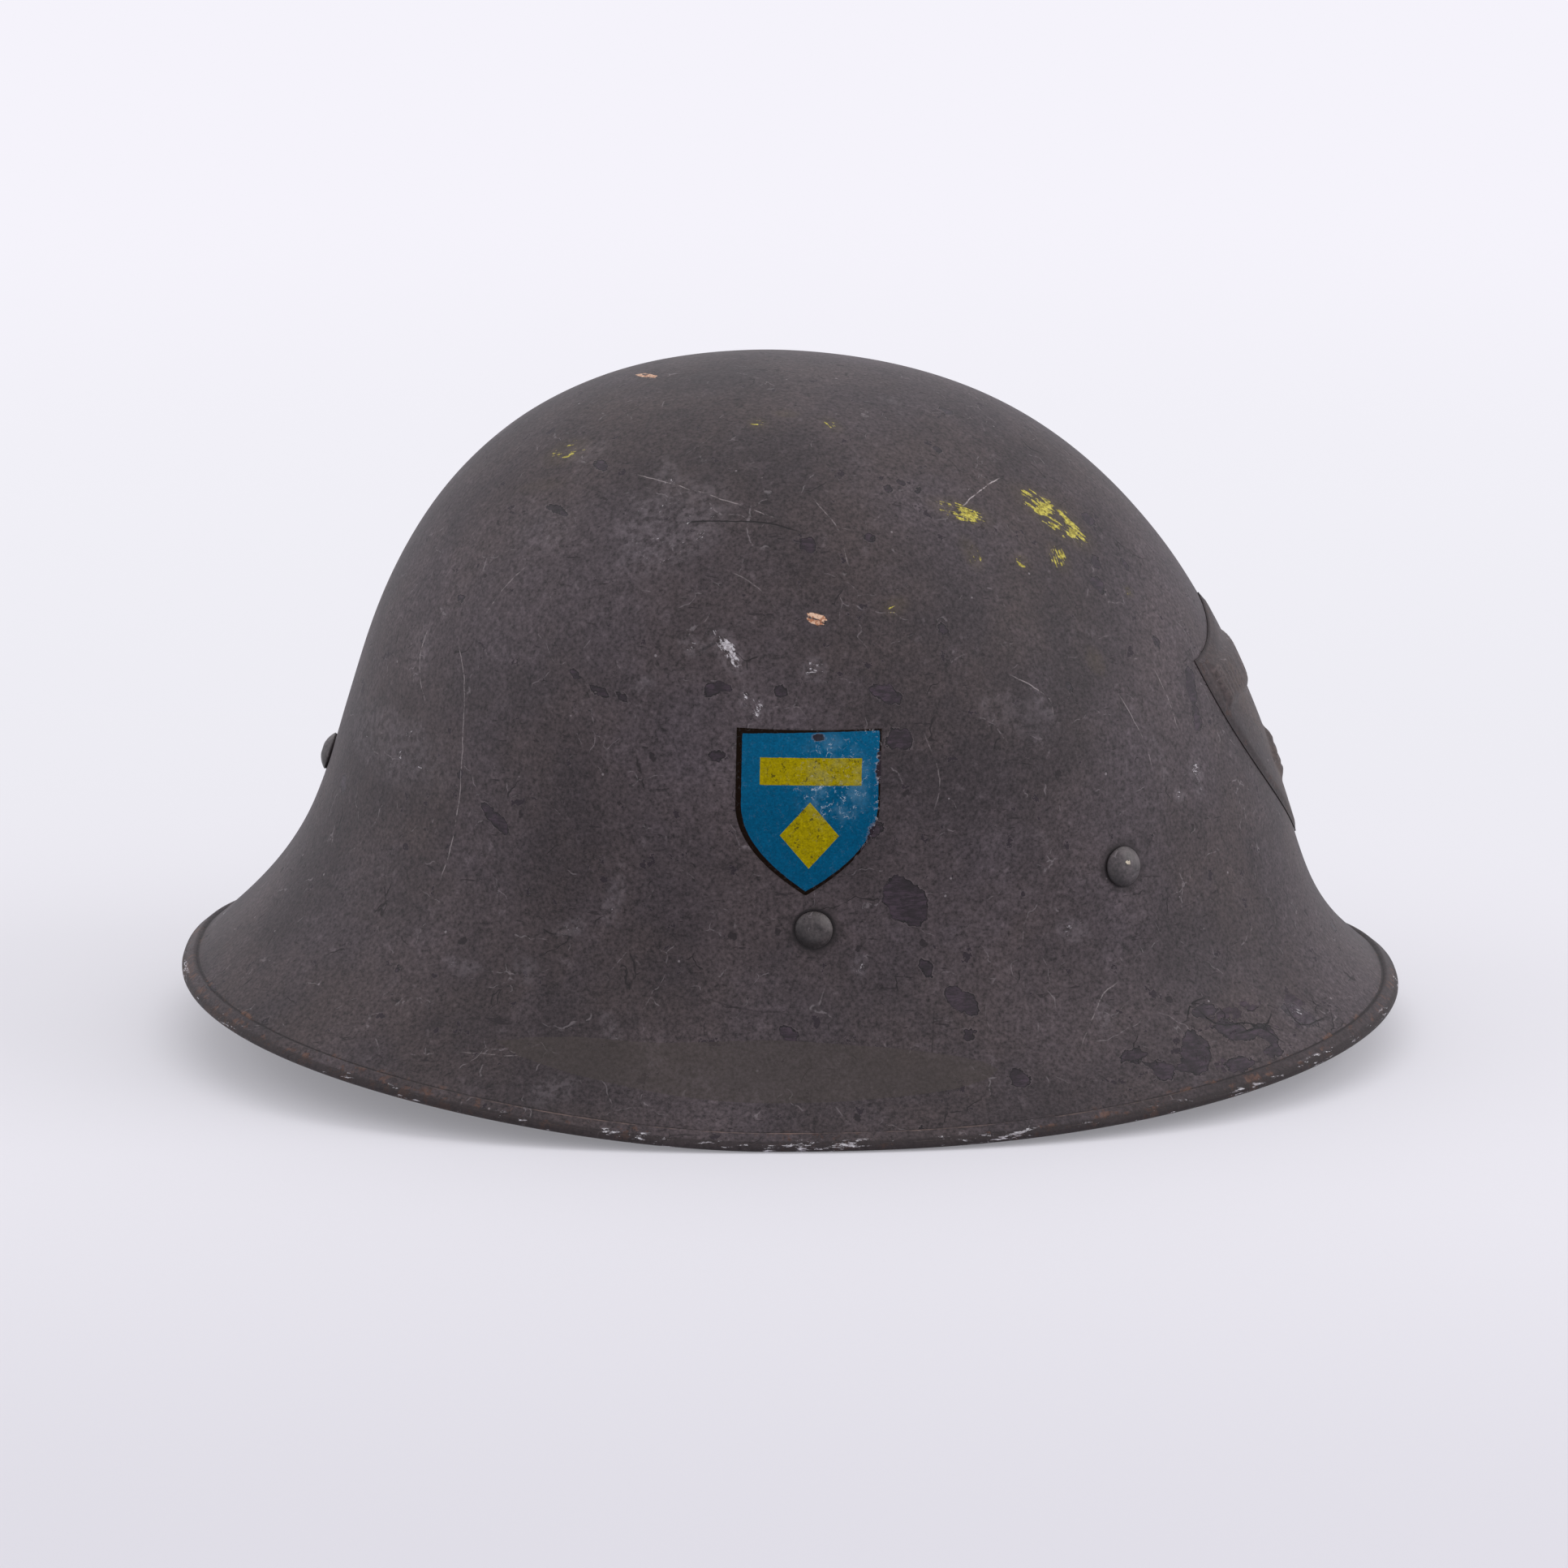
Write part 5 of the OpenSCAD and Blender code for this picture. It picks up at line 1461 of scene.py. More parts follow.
@dataclass(frozen=True)
class SteelShell:
    """The pressed shell, its edge folded up onto the brim."""

    form: ShellForm = FORM
    near: tuple[float, float, int] = (-188.0, 8.0, 320)
    far: tuple[float, float, int] = (8.0, 172.0, 160)
    bowl_rows: int = 112
    brim_rows: int = 46
    nose_rows: int = 8
    inner_rows: int = 14
    wave: float = 0.26
    away: float = 400.0
    seamless: float = 9.0
    fold: tuple[tuple[float, float], ...] = (
        (0.0, 0.0), (0.04, 0.1), (0.08, 0.4), (0.12, 0.75), (0.16, 1.0), (0.21, 1.13), (0.28, 1.19),
        (0.45, 1.2), (0.7, 1.2), (0.85, 1.2), (1.0, 1.2))
    quiet: tuple[tuple[float, ...], ...] = (
        *((*head, 9.0, 20.0) for head in HEADS), (0.0, 78.0, 46.0, 66.0), (-87.0, 77.0, 26.0, 40.0))

    def _waves(self, points: Array, edge: Array) -> Array:
        """How far the pressed steel sinks below its ideal form.

        Args:
            points: Points of the ideal form.
            edge: Their distances to the edge.

        Returns:
            The depths in millimetres.
        """
        x, y, z = points[..., 0], points[..., 1], points[..., 2]
        sunk = (np.sin(x / 13 + y / 19 + 1) + np.sin(z / 11 - x / 17) + np.sin(y / 9 + z / 23 + 2)
                + 0.5 * np.sin(x / 6 + z / 7) + 0.5 * np.sin(y / 5 - x / 8 + 3)) / 8 + 0.5
        calm = ease((edge - 7) / 16)
        for turn, height, inner, outer in self.quiet:
            away = np.linalg.norm(points - self.form.face(*self.form.spot(turn, height)), axis=-1)
            calm = calm * ease((away - inner) / (outer - inner))
        return self.wave * sunk * calm

    def _outside(self, a: Array, step: Array) -> tuple[list[Array], ...]:
        """Rows of the outer face, from under the crown to round the nose of the edge.

        Args:
            a: Turns in radians.
            step: Length of the profile at the edge for each unit of s.

        Returns:
            Rows of points, of directions out, of distances to the edge and of distances to the hem.
        """
        form, hem, count = self.form, self.form.hem_s(a), len(a)
        rows = [(np.full(count, i / self.bowl_rows), 0.0) for i in range(1, self.bowl_rows + 1)]
        rows += [(1 + (hem - 1) * i / self.brim_rows, 0.0) for i in range(1, self.brim_rows)]
        rows += [(hem + share * (2 - hem), rise) for share, rise in self.fold]
        points, normals, edges, hems = [], [], [], []
        for s, rise in rows:
            away = np.minimum((2 - s) * step, self.away)
            ideal, out = form.face(s, a), form.outward(s, a)
            points.append(ideal + (rise - self._waves(ideal, away))[:, None] * out)
            normals.append(out)
            edges.append(away)
            hems.append(away - form.hem)
        edge, out = form.face(2.0, a), form.outward(2.0, a)
        down = unit(form.face(2.001, a) - form.face(1.999, a))
        for i in range(1, self.nose_rows + 1):
            f = math.pi * i / self.nose_rows
            normals.append(out * math.cos(f) + down * math.sin(f))
            points.append(edge + form.sheet * normals[-1])
            edges.append(np.full(count, 0.0))
            hems.append(np.full(count, self.seamless))
        return points, normals, edges, hems

    def dress(self, finishes: Finishes, seed: int = 11) -> Piece:
        """Makes the shell with its wear.

        Args:
            finishes: The materials.
            seed: Seed of the wear that isn't listed.

        Returns:
            The shell.
        """
        form = self.form
        a = np.radians(np.concatenate([np.linspace(*self.near, endpoint=False),
                                       np.linspace(*self.far, endpoint=False)]))
        hem, count = form.hem_s(a), len(a)
        step = np.linalg.norm(form.face(2.0, a) - form.face(1.99, a), axis=-1) / 0.01
        points, normals, edges, hems = self._outside(a, step)
        outer = 1 + len(points) * count
        for i in range(self.inner_rows - 1, 0, -1):
            share = i / self.inner_rows * 2
            s = np.full(count, share) if share < 1.75 else hem
            points.append(form.skin(s, a, form.sheet))
            edges.append(np.minimum((2 - s) * step, self.away))
            hems.append(np.full(count, self.seamless))
        rings = len(points)
        poles = [[form.apex_x, 0, form.height], [form.apex_x, 0, form.height - form.sheet]]
        last = 1 + (rings - 1) * count
        faces = MeshKit.grid_faces(rings, count, start=1, closed=True)
        faces += [(0, 1 + j, 1 + (j + 1) % count) for j in range(count)]
        faces += [(1 + rings * count, last + (j + 1) % count, last + j) for j in range(count)]
        vertices = np.concatenate([[poles[0]], *points, [poles[1]]])
        piece = MeshKit.build("shell_steel", vertices, faces)
        MeshKit.outside(piece)
        wear = WearField(form, vertices[:outer], np.concatenate([[[0, 0, 1.0]], *normals]))
        wear.place_all(seed)
        wear.store(piece, len(vertices))
        MeshKit.write(piece, "inside", (np.arange(len(vertices)) >= outer).astype(float))
        MeshKit.write(piece, "edge", np.concatenate([[self.away], *edges, [self.away]]))
        MeshKit.write(piece, "hem", np.concatenate([[self.away], *hems, [self.seamless]]))
        fit(piece, finishes.shell, "shell")
        return piece


@dataclass(frozen=True)
class SideBadge:
    """A thin painted badge on the wearer's right side."""

    form: ShellForm = FORM
    middle: tuple[float, float] = (3.95, 77.5)
    half: float = 17.45
    tall: float = 41.7
    tilt_deg: float = 1.2
    straight: float = 0.44
    film: tuple[float, float] = (0.02, 0.17)

    def _half_at(self, t: Array) -> Array:
        """Half width at a share of the height, from the top."""
        return self.half * (1 - np.clip((t - self.straight) / (1 - self.straight), 0, 1) ** 2.1)

    def dress(self, finishes: Finishes) -> Piece:
        """Makes the badge.

        Args:
            finishes: The materials.

        Returns:
            The badge.
        """
        t = np.linspace(0, 0.996, 66)
        share = np.linspace(-1, 1, 49)
        u = self._half_at(t)[:, None] * share
        bow = 0.35 * np.cos(share * math.pi / 2)[None, :] * (1 - t)[:, None] ** 6
        v = self.tall * (0.5 - t)[:, None] - bow
        tilt = math.radians(self.tilt_deg)
        x = self.middle[0] + u * math.cos(tilt) + v * math.sin(tilt)
        z = self.middle[1] - u * math.sin(tilt) + v * math.cos(tilt)
        a = self.form.turn_at_x(x, z)
        s = self.form.s_at(z, a)
        outer, inner = self.form.skin(s, a, -self.film[1]), self.form.skin(s, a, -self.film[0])
        piece = MeshKit.slab("side_badge", outer, inner)
        flat = np.stack([u, v, 0 * u], axis=-1).reshape(-1, 3)
        t = np.linspace(0, 1, 240)
        side = np.stack([self._half_at(t), self.tall * (0.5 - t)], axis=-1)
        top = np.stack([np.linspace(-self.half, self.half, 120), np.full(120, self.tall / 2)], axis=-1)
        rim = edge_distance(flat[:, :2], np.concatenate([side, side * [-1, 1], top]))
        MeshKit.write(piece, "badge", np.concatenate([flat, flat]))
        MeshKit.write(piece, "rim", np.concatenate([rim, rim]))
        fit(piece, finishes.badge)
        return piece


@dataclass(frozen=True)
class FrontPlate:
    """The shield-shaped plate with a raised bar and a raised lozenge."""

    form: ShellForm = FORM
    half: float = 36.2
    corner_z: float = 102.3
    peak: float = 10.5
    tip_z: float = 49.4
    sheet: float = 0.8
    seat: float = 0.05
    relief: float = 1.15
    bar: tuple[float, float, float] = (94.8, 12.0, 3.5)
    lozenge: tuple[float, float, float] = (70.3, 15.0, 10.1)
    rows: int = 92
    cols: int = 96

    def _half_at(self, z: Array) -> Array:
        """Half width at a height."""
        return self.half * (1 - np.clip((self.corner_z - z) / (self.corner_z - self.tip_z), 0, 1) ** 2.3)

    def _top(self, share: Array) -> Array:
        """Height of the top edge at a share of the half width."""
        return self.corner_z + self.peak * (1 - np.abs(share)) ** 1.4

    def _raised(self, y: Array, z: Array) -> Array:
        """Height of the raised figures.

        Args:
            y: Distances sideways, in millimetres.
            z: Heights in millimetres.

        Returns:
            The heights over the plate, in millimetres.
        """
        bar_z, tall, inset = self.bar
        loz_z, loz_tall, loz_half = self.lozenge
        bar = np.minimum(tall / 2 - np.abs(z - bar_z), self._half_at(z) - inset - np.abs(y))
        slope = math.hypot(loz_half, loz_tall / 2)
        lozenge = 1 - np.abs(y) / loz_half - np.abs(z - loz_z) / (loz_tall / 2)
        lozenge = lozenge * loz_half * loz_tall / 2 / slope
        face = self.relief * (ease((bar + 0.35) / 2.4) + ease((lozenge + 0.35) / 2.6))
        lines = np.sin(y * 2.4) * ease((bar - 1.6) / 1.2) + np.sin(z * 2.4) * ease((lozenge - 1.4) / 1.2)
        return face * (1 - 0.06 * np.sin(y / 4.1) * np.sin(z / 3.3)) + 0.16 * lines

    def dress(self, finishes: Finishes) -> Piece:
        """Makes the plate.

        Args:
            finishes: The materials.

        Returns:
            The plate.
        """
        share = np.sin(math.pi / 2 * np.linspace(-1, 1, self.cols))[None, :]
        v = np.linspace(0, 1, self.rows)[:, None] ** 0.92
        low_z = self.tip_z + 0.4
        row_z = self.corner_z - (self.corner_z - low_z) * v
        z = row_z + (self._top(share) - self.corner_z) * (1 - v) ** 3
        y = self._half_at(row_z) * share
        a = self.form.turn_at_y(y, z)
        s = self.form.s_at(z, a)
        flat = np.stack([y, z], axis=-1).reshape(-1, 2)
        side_z, top_share = np.linspace(low_z, self.corner_z, 260), np.linspace(-1, 1, 200)
        side = np.stack([self._half_at(side_z), side_z], axis=-1)
        top = np.stack([self.half * top_share, self._top(top_share)], axis=-1)
        edge = edge_distance(flat, np.concatenate([side, side * [-1, 1], top]))
        rolled = 0.3 + 0.7 * ease(edge / 2.6)
        lift = (self.seat + self.sheet * rolled).reshape(y.shape) + self._raised(y, z)
        piece = MeshKit.slab("plate_steel", self.form.skin(s, a, -lift), self.form.skin(s, a, -self.seat))
        MeshKit.write(piece, "edge", np.concatenate([edge, 0 * edge + 0.5]))
        MeshKit.write(piece, "hem", np.full(2 * len(edge), SteelShell.seamless))
        fit(piece, finishes.plate, "front_plate")
        return piece


class Sections:
    """Outlines of the cross-sections that are swept."""

    @staticmethod
    def rounded(width: float, height: float, radius: float, steps: int = 3) -> Array:
        """Outline of a rectangle with rounded corners, about its middle.

        Args:
            width: Its width.
            height: Its height.
            radius: Radius of its corners.
            steps: Number of steps round each corner.

        Returns:
            The points.
        """
        radius = min(radius, width / 2 - 1e-3, height / 2 - 1e-3)
        points = []
        for i, (sx, sy) in enumerate(((1, 1), (-1, 1), (-1, -1), (1, -1))):
            for k in range(steps + 1):
                f = math.pi / 2 * (i + k / steps)
                points.append((sx * (width / 2 - radius) + radius * math.cos(f),
                               sy * (height / 2 - radius) + radius * math.sin(f)))
        return np.array(points)

    @staticmethod
    def dome(diameter: float, height: float, seat: float, flat: float = 0.0,
             steps: int = 14) -> list[tuple[float, float]]:
        """Outline of a low domed head from its top to under its rim, pointing to -Z.

        Args:
            diameter: Diameter of the head.
            height: Height of the dome over its rim.
            seat: Distance from the rim's underside to the surface.
            flat: Share of the height that is worn flat at the top.
            steps: Number of points along the dome.

        Returns:
            Rows of (radius, height).
        """
        half, lip = diameter / 2, 0.34
        dome = height - lip
        radius = (half * half + dome * dome) / (2 * dome)
        rim = math.asin(min(1.0, half / radius))
        points = []
        for i in range(steps + 1):
            f = rim * i / steps
            up = radius * math.cos(f) - radius + dome
            points.append((max(radius * math.sin(f), 0.02), -(min(up, dome * (1 - flat)) + lip + seat)))
        points += [(half, -(0.16 + seat)), (half - 0.1, -(0.03 + seat)), (half - 0.2, 0.0), (half - 0.4, 0.0)]
        return points


@dataclass(frozen=True)
class Fasteners:
    """The three liner pins and the two side rivets."""

    form: ShellForm = FORM
    pin_head: tuple[float, float, float] = (9.8, 2.4, 0.28)
    shank: float = 4.0
    leg: tuple[float, float, float, float] = (9.0, 3.4, 1.1, 6.73)
    side_head: tuple[float, float, float] = (9.2, 2.2, 0.35)
    tail: tuple[float, float, float] = (6.4, 1.3, 3.65)

    def _pin(self, name: str, place: Place, seed: int) -> list[Piece]:
        """One pin with its two legs.

        Args:
            name: Name of the pin.
            place: Where it stands, and its three directions.
            seed: Seed of the head's small unevenness.

        Returns:
            Its parts.
        """
        length, width, thick, depth = self.leg
        end = depth + thick
        stem = [(self.shank / 2, -self.pin_head[2]), (self.shank / 2, depth - 1.4)]
        outline = np.array(Sections.dome(*self.pin_head, flat=0.06) + stem)
        parts = [MeshKit.revolve(name, outline, place, wobble=0.012, seed=seed)]
        origin, x, y, z = place
        for way in (1, -1):
            rings = []
            for along in np.concatenate([np.linspace(0.32, length - width / 2, 5),
                                         length - width / 2 * (1 - np.sin(np.linspace(0.2, 1.5, 8)))]):
                reach = along - (length - width / 2)
                wide = width * math.sqrt(max(0.02, 1 - (max(0.0, reach) / (width / 2)) ** 2))
                ring = Sections.rounded(wide, thick, 0.35)
                middle = origin + z * (depth + thick / 2) + x * along * way
                rings.append(middle + np.outer(ring[:, 0], y) + np.outer(ring[:, 1], z))
            parts.append(MeshKit.tube(name + "_leg", np.array(rings)))
            half = []
            for at in np.linspace(depth - 1.5, end - 0.3, 4):
                f = np.linspace(-1.2, 1.2, 14)
                arc = np.stack([np.cos(f), np.sin(f)], axis=-1) * self.shank / 2
                arc = arc[arc[:, 0] > 0.32]
                arc = np.concatenate([arc, [[0.32, arc[-1, 1]], [0.32, arc[0, 1]]]])
                half.append(origin + z * at + np.outer(way * arc[:, 0], x) + np.outer(arc[:, 1], y))
            parts.append(MeshKit.tube(name + "_half", np.array(half)))
        return parts

    def dress(self, finishes: Finishes) -> list[Piece]:
        """Makes the pins and the rivets.

        Args:
            finishes: The materials.

        Returns:
            The pins and the rivets.
        """
        parts: list[Piece] = []
        for i, head in enumerate(HEADS[:3]):
            s, a = self.form.spot(*head)
            place = MeshKit.frame_along(self.form.face(s, a), -self.form.outward(s, a))
            parts += self._pin(f"pin_{i}", place, seed=i)
        pins = MeshKit.joined("liner_pins_steel", parts)
        wide, tall, start = self.tail
        outline = np.array(Sections.dome(*self.side_head, flat=0.2) + [
            (self.shank / 2, -self.side_head[2]), (self.shank / 2, start), (wide / 2 - 0.25, start),
            (wide / 2, start + 0.25), (wide / 2 - 0.15, start + 0.7), (wide / 3, start + tall),
            (0.02, start + tall)])
        centres = np.array([self.form.face(*self.form.spot(*head)) for head in HEADS])
        heads = []
        for way in (-1, 1):
            place = MeshKit.frame_along(centres[3] * [1, way, 1], [0, -way, 0])
            heads.append(MeshKit.revolve(f"rivet_{way}", outline, place, wobble=0.014, seed=5 + way))
        rivets = MeshKit.joined("side_rivets_steel", heads)
        for piece, node in ((pins, "liner_pins"), (rivets, "side_rivets")):
            here = np.array([vertex.co for vertex in piece.data.vertices]) / MM
            offset = here[:, None] - centres[None]
            nearest = np.argmin(np.linalg.norm(offset, axis=-1), axis=1)
            # Each point's share of painted shade on its head: 0 towards the upper right, 1 towards the lower
            # left.
            painted_shading = offset[np.arange(len(here)), nearest] @ [-0.075, 0.0, -0.075] + 0.5
            MeshKit.write(piece, "painted_shading", np.clip(painted_shading, 0, 1))
            fit(piece, finishes.pins, node)
        return [pins, rivets]


# Liner


@dataclass(frozen=True)
class Liner:
    """The leather band, the three pads with their fingers, and the cushions behind them."""

    form: ShellForm = FORM
    front_z: float = 59.3
    rear_z: float = 70.9
    below: float = 9.0
    above: float = 13.0
    depth: float = 3.4
    thick: float = 2.0
    pad_t: float = 1.8
    pad_h: float = 62.0
    foot: float = 7.0
    cushion_t: float = 8.4
    pads: tuple[tuple[str, float, float, int], ...] = (
        ("front", 0.0, 33.0, 2), ("left", 112.0, 48.0, 3), ("right", -112.0, 48.0, 3))

    def _band_z(self, a: Array) -> Array:
        """Height of the pins' line at a turn."""
        front = math.cos(math.radians(HEADS[0][0]))
        return self.front_z + (self.rear_z - self.front_z) * (front - np.cos(a)) / (front + 1)

    @staticmethod
    def _pad_depth(v: Array) -> Array:
        """Depth of a pad's shell side at a share of its height."""
        ramp, stand, start = 0.3, 16.4, 5.7
        low, high = start + (stand - start) * ease(v / ramp), stand - 4 * ease((v - ramp) / (1 - ramp))
        return np.where(v < ramp, low, high)

    @staticmethod
    def _finger(u: Array, fingers: int) -> Array:
        """How high a pad reaches at a share of its width."""
        f = (u * fingers) % 1
        return 0.46 + 0.54 * np.sqrt(np.maximum(0, 1 - (2 * f - 1) ** 2))

    def _on(self, a: Array, v: Array, depth: Array) -> Array:
        """Points of a pad at a share of its height and a depth."""
        z = self._band_z(a) - self.foot + self.pad_h * v
        return self.form.skin(self.form.s_at(z, a), a, depth)

    def _band(self) -> Piece:
        """The band as one closed hoop with softened edges.

        Returns:
            The band.
        """
        a = np.radians(np.arange(0, 360, 1.5))
        low = self.form.s_at(self._band_z(a) - self.below, a)
        high = self.form.s_at(self._band_z(a) + self.above, a)
        corners = {(i, j): self.form.skin(s, a, d) for i, s in enumerate((low, high))
                   for j, d in enumerate((self.depth, self.depth + self.thick))}
        tall = self.below + self.above
        section = Sections.rounded(tall, self.thick, 0.8, steps=4) / [tall, self.thick] + 0.5
        rings = np.stack([(1 - p) * (1 - q) * corners[0, 0] + (1 - p) * q * corners[0, 1]
                          + p * (1 - q) * corners[1, 0] + p * q * corners[1, 1] for p, q in section], axis=1)
        return MeshKit.tube("band_leather_hoop", rings, closed=True)

    def _pad(self, name: str, mid: float, half: float, fingers: int, seed: int) -> Piece:
        """One pad's leather, a little creased.

        Args:
            name: Name of the piece.
            mid: Turn of its middle, in degrees.
            half: Half its width, in degrees.
            fingers: Number of its fingers.
            seed: Seed of the creases.

        Returns:
            The leather.
        """
        u = np.linspace(0.002, 0.998, fingers * 34)[None, :]
        w = np.linspace(1, 0, 40)[:, None]
        a = np.radians(mid + half * (2 * u - 1)) + 0 * w
        v = self._finger(u, fingers) * w
        rng = np.random.default_rng(seed)
        creases = 0 * v
        for _ in range(9):
            fu, fv, ph = rng.uniform(4, 16), rng.uniform(6, 22), rng.uniform(0, 6.28)
            creases = creases + np.sin(u * fu * fingers + v * fv + ph) / 9
        belly = 0.5 * np.sin(math.pi * ((u * fingers) % 1)) * ease((v - 0.2) / 0.3)
        depth = self._pad_depth(v)
        waves = 0.22 * creases * ease((v - 0.15) / 0.2)
        edge = ease((1 - w) * 10)
        inner = self._on(a, v, depth + self.pad_t * (0.62 + 0.38 * edge) + belly * 0.5 + waves)
        outer = self._on(a, v, depth + 0.1 + waves * 0.6)
        return MeshKit.slab(name, inner[:, ::-1], outer[:, ::-1])

    def _cushion(self, name: str, mid: float, half: float, fingers: int,
                 simulate: bool) -> Piece:
        """One cotton cushion, blown up as cloth.

        Args:
            name: Name of the piece.
            mid: Turn of its middle, in degrees.
            half: Half the pad's width, in degrees.
            fingers: Number of the pad's fingers.
            simulate: Whether it is simulated.

        Returns:
            The cushion.
        """
        u = np.linspace(0, 1, fingers * 16 + 1)[None, :]
        w = np.linspace(1, 0, 16)[:, None]
        f = (u * fingers) % 1
        across = np.sin(math.pi * np.clip(f, 0.04, 0.96)) ** 0.55
        swell = np.maximum(0.14, across * np.sin(math.pi * np.clip(w, 0.05, 0.95)) ** 0.6)
        a = np.radians(mid + (half - 2.5) * (2 * u - 1)) + 0 * w
        top = np.minimum(0.9, self._finger(u, fingers) - 0.05)
        v = 0.34 + (top - 0.34) * w
        middle = self._pad_depth(v) - 0.3 - self.cushion_t / 2
        reach = self.cushion_t / 2 * swell * 0.9
        piece = MeshKit.slab(name, self._on(a, v, middle - reach), self._on(a, v, middle + reach))
        remesh = piece.modifiers.new("remesh", "REMESH")
        remesh.mode, remesh.voxel_size, remesh.use_smooth_shade = "VOXEL", 0.0022, True
        bpy.context.view_layer.objects.active = piece
        bpy.ops.object.modifier_apply(modifier=remesh.name)
        if simulate:
            self._inflate(piece)
        finer = piece.modifiers.new("finer", "SUBSURF")
        finer.levels = finer.render_levels = 1
        bpy.ops.object.modifier_apply(modifier=finer.name)
        return piece

    @staticmethod
    def _inflate(piece: Piece, pressure: float = 2.0, frames: int = 14, cap: float = 0.5) -> None:
        """Blows a closed piece up as cloth and applies the result.

        Args:
            piece: The piece.
            pressure: Pressure inside it.
            frames: Number of frames of the simulation.
            cap: Furthest that a point may move, in millimetres.
        """
        scene = bpy.context.scene
        start = np.empty(len(piece.data.vertices) * 3)
        piece.data.vertices.foreach_get("co", start)
        cloth = piece.modifiers.new("cloth", "CLOTH")
        cloth.settings.use_pressure, cloth.settings.uniform_pressure_force = True, pressure
        cloth.settings.effector_weights.gravity = 0.0
        cloth.settings.quality, cloth.settings.mass = 4, 0.2
        cloth.point_cache.frame_start, cloth.point_cache.frame_end = 1, frames
        for frame in range(1, frames + 1):
            scene.frame_set(frame)
        blown = piece.evaluated_get(bpy.context.evaluated_depsgraph_get())
        final = np.empty(len(start))
        blown.data.vertices.foreach_get("co", final)
        piece.modifiers.remove(cloth)
        move = (final - start).reshape(-1, 3)
        length = np.linalg.norm(move, axis=1, keepdims=True)
        held = start.reshape(-1, 3) + move * np.minimum(1.0, cap * MM / np.maximum(length, 1e-9))
        piece.data.vertices.foreach_set("co", held.ravel())
        piece.data.update()
        scene.frame_set(1)

    def _stitches(self, mid: float, half: float) -> list[Piece]:
        """The seam that holds a pad's foot to the band, as a row of thread stitches.

        Args:
            mid: Turn of the pad's middle, in degrees.
            half: Half the pad's width, in degrees.

        Returns:
            The stitches.
        """
        made = []
        for degrees in np.arange(mid - half + 1.5, mid + half - 1.4, 2.3):
            a = np.radians(degrees + np.linspace(-0.75, 0.75, 7))
            v = np.full(7, 3.4 / self.pad_h)
            sink = np.array([-0.9, -0.1, 0.28, 0.36, 0.28, -0.1, -0.9])
            middle = self._on(a, v, self._pad_depth(v) + self.pad_t * 0.98 + sink)
            ahead = unit(np.gradient(middle, axis=0))
            side = unit(np.cross(ahead, [0, 0, 1.0]))
            lift = np.cross(side, ahead)
            f = np.arange(8) * math.pi / 4
            rings = (middle[:, None] + 0.33 * (np.cos(f)[None, :, None] * side[:, None]
                                               + np.sin(f)[None, :, None] * lift[:, None]))
            made.append(MeshKit.tube("stitch", rings))
        return made

    def dress(self, finishes: Finishes, simulate: bool) -> list[Piece]:
        """Makes the liner.

        Args:
            finishes: The materials.
            simulate: Whether the cushions are simulated.

        Returns:
            Its pieces.
        """
        band = self._band()
        fit(band, finishes.band, "liner_band")
        made, stitches = [band], []
        for i, (name, mid, half, fingers) in enumerate(self.pads):
            leather = self._pad(f"pad_{name}_skin", mid, half, fingers, seed=20 + i)
            fit(leather, finishes.pad, f"pad_leather_{name}")
            cushion = self._cushion(f"cushion_{name}_cotton", mid, half, fingers, simulate)
            fit(cushion, finishes.cloth, f"pad_cushion_{name}")
            stitches += self._stitches(mid, half)
            made += [leather, cushion]
        thread = MeshKit.joined("liner_stitches", stitches)
        fit(thread, finishes.thread)
        return made + [thread]


# Chinstrap


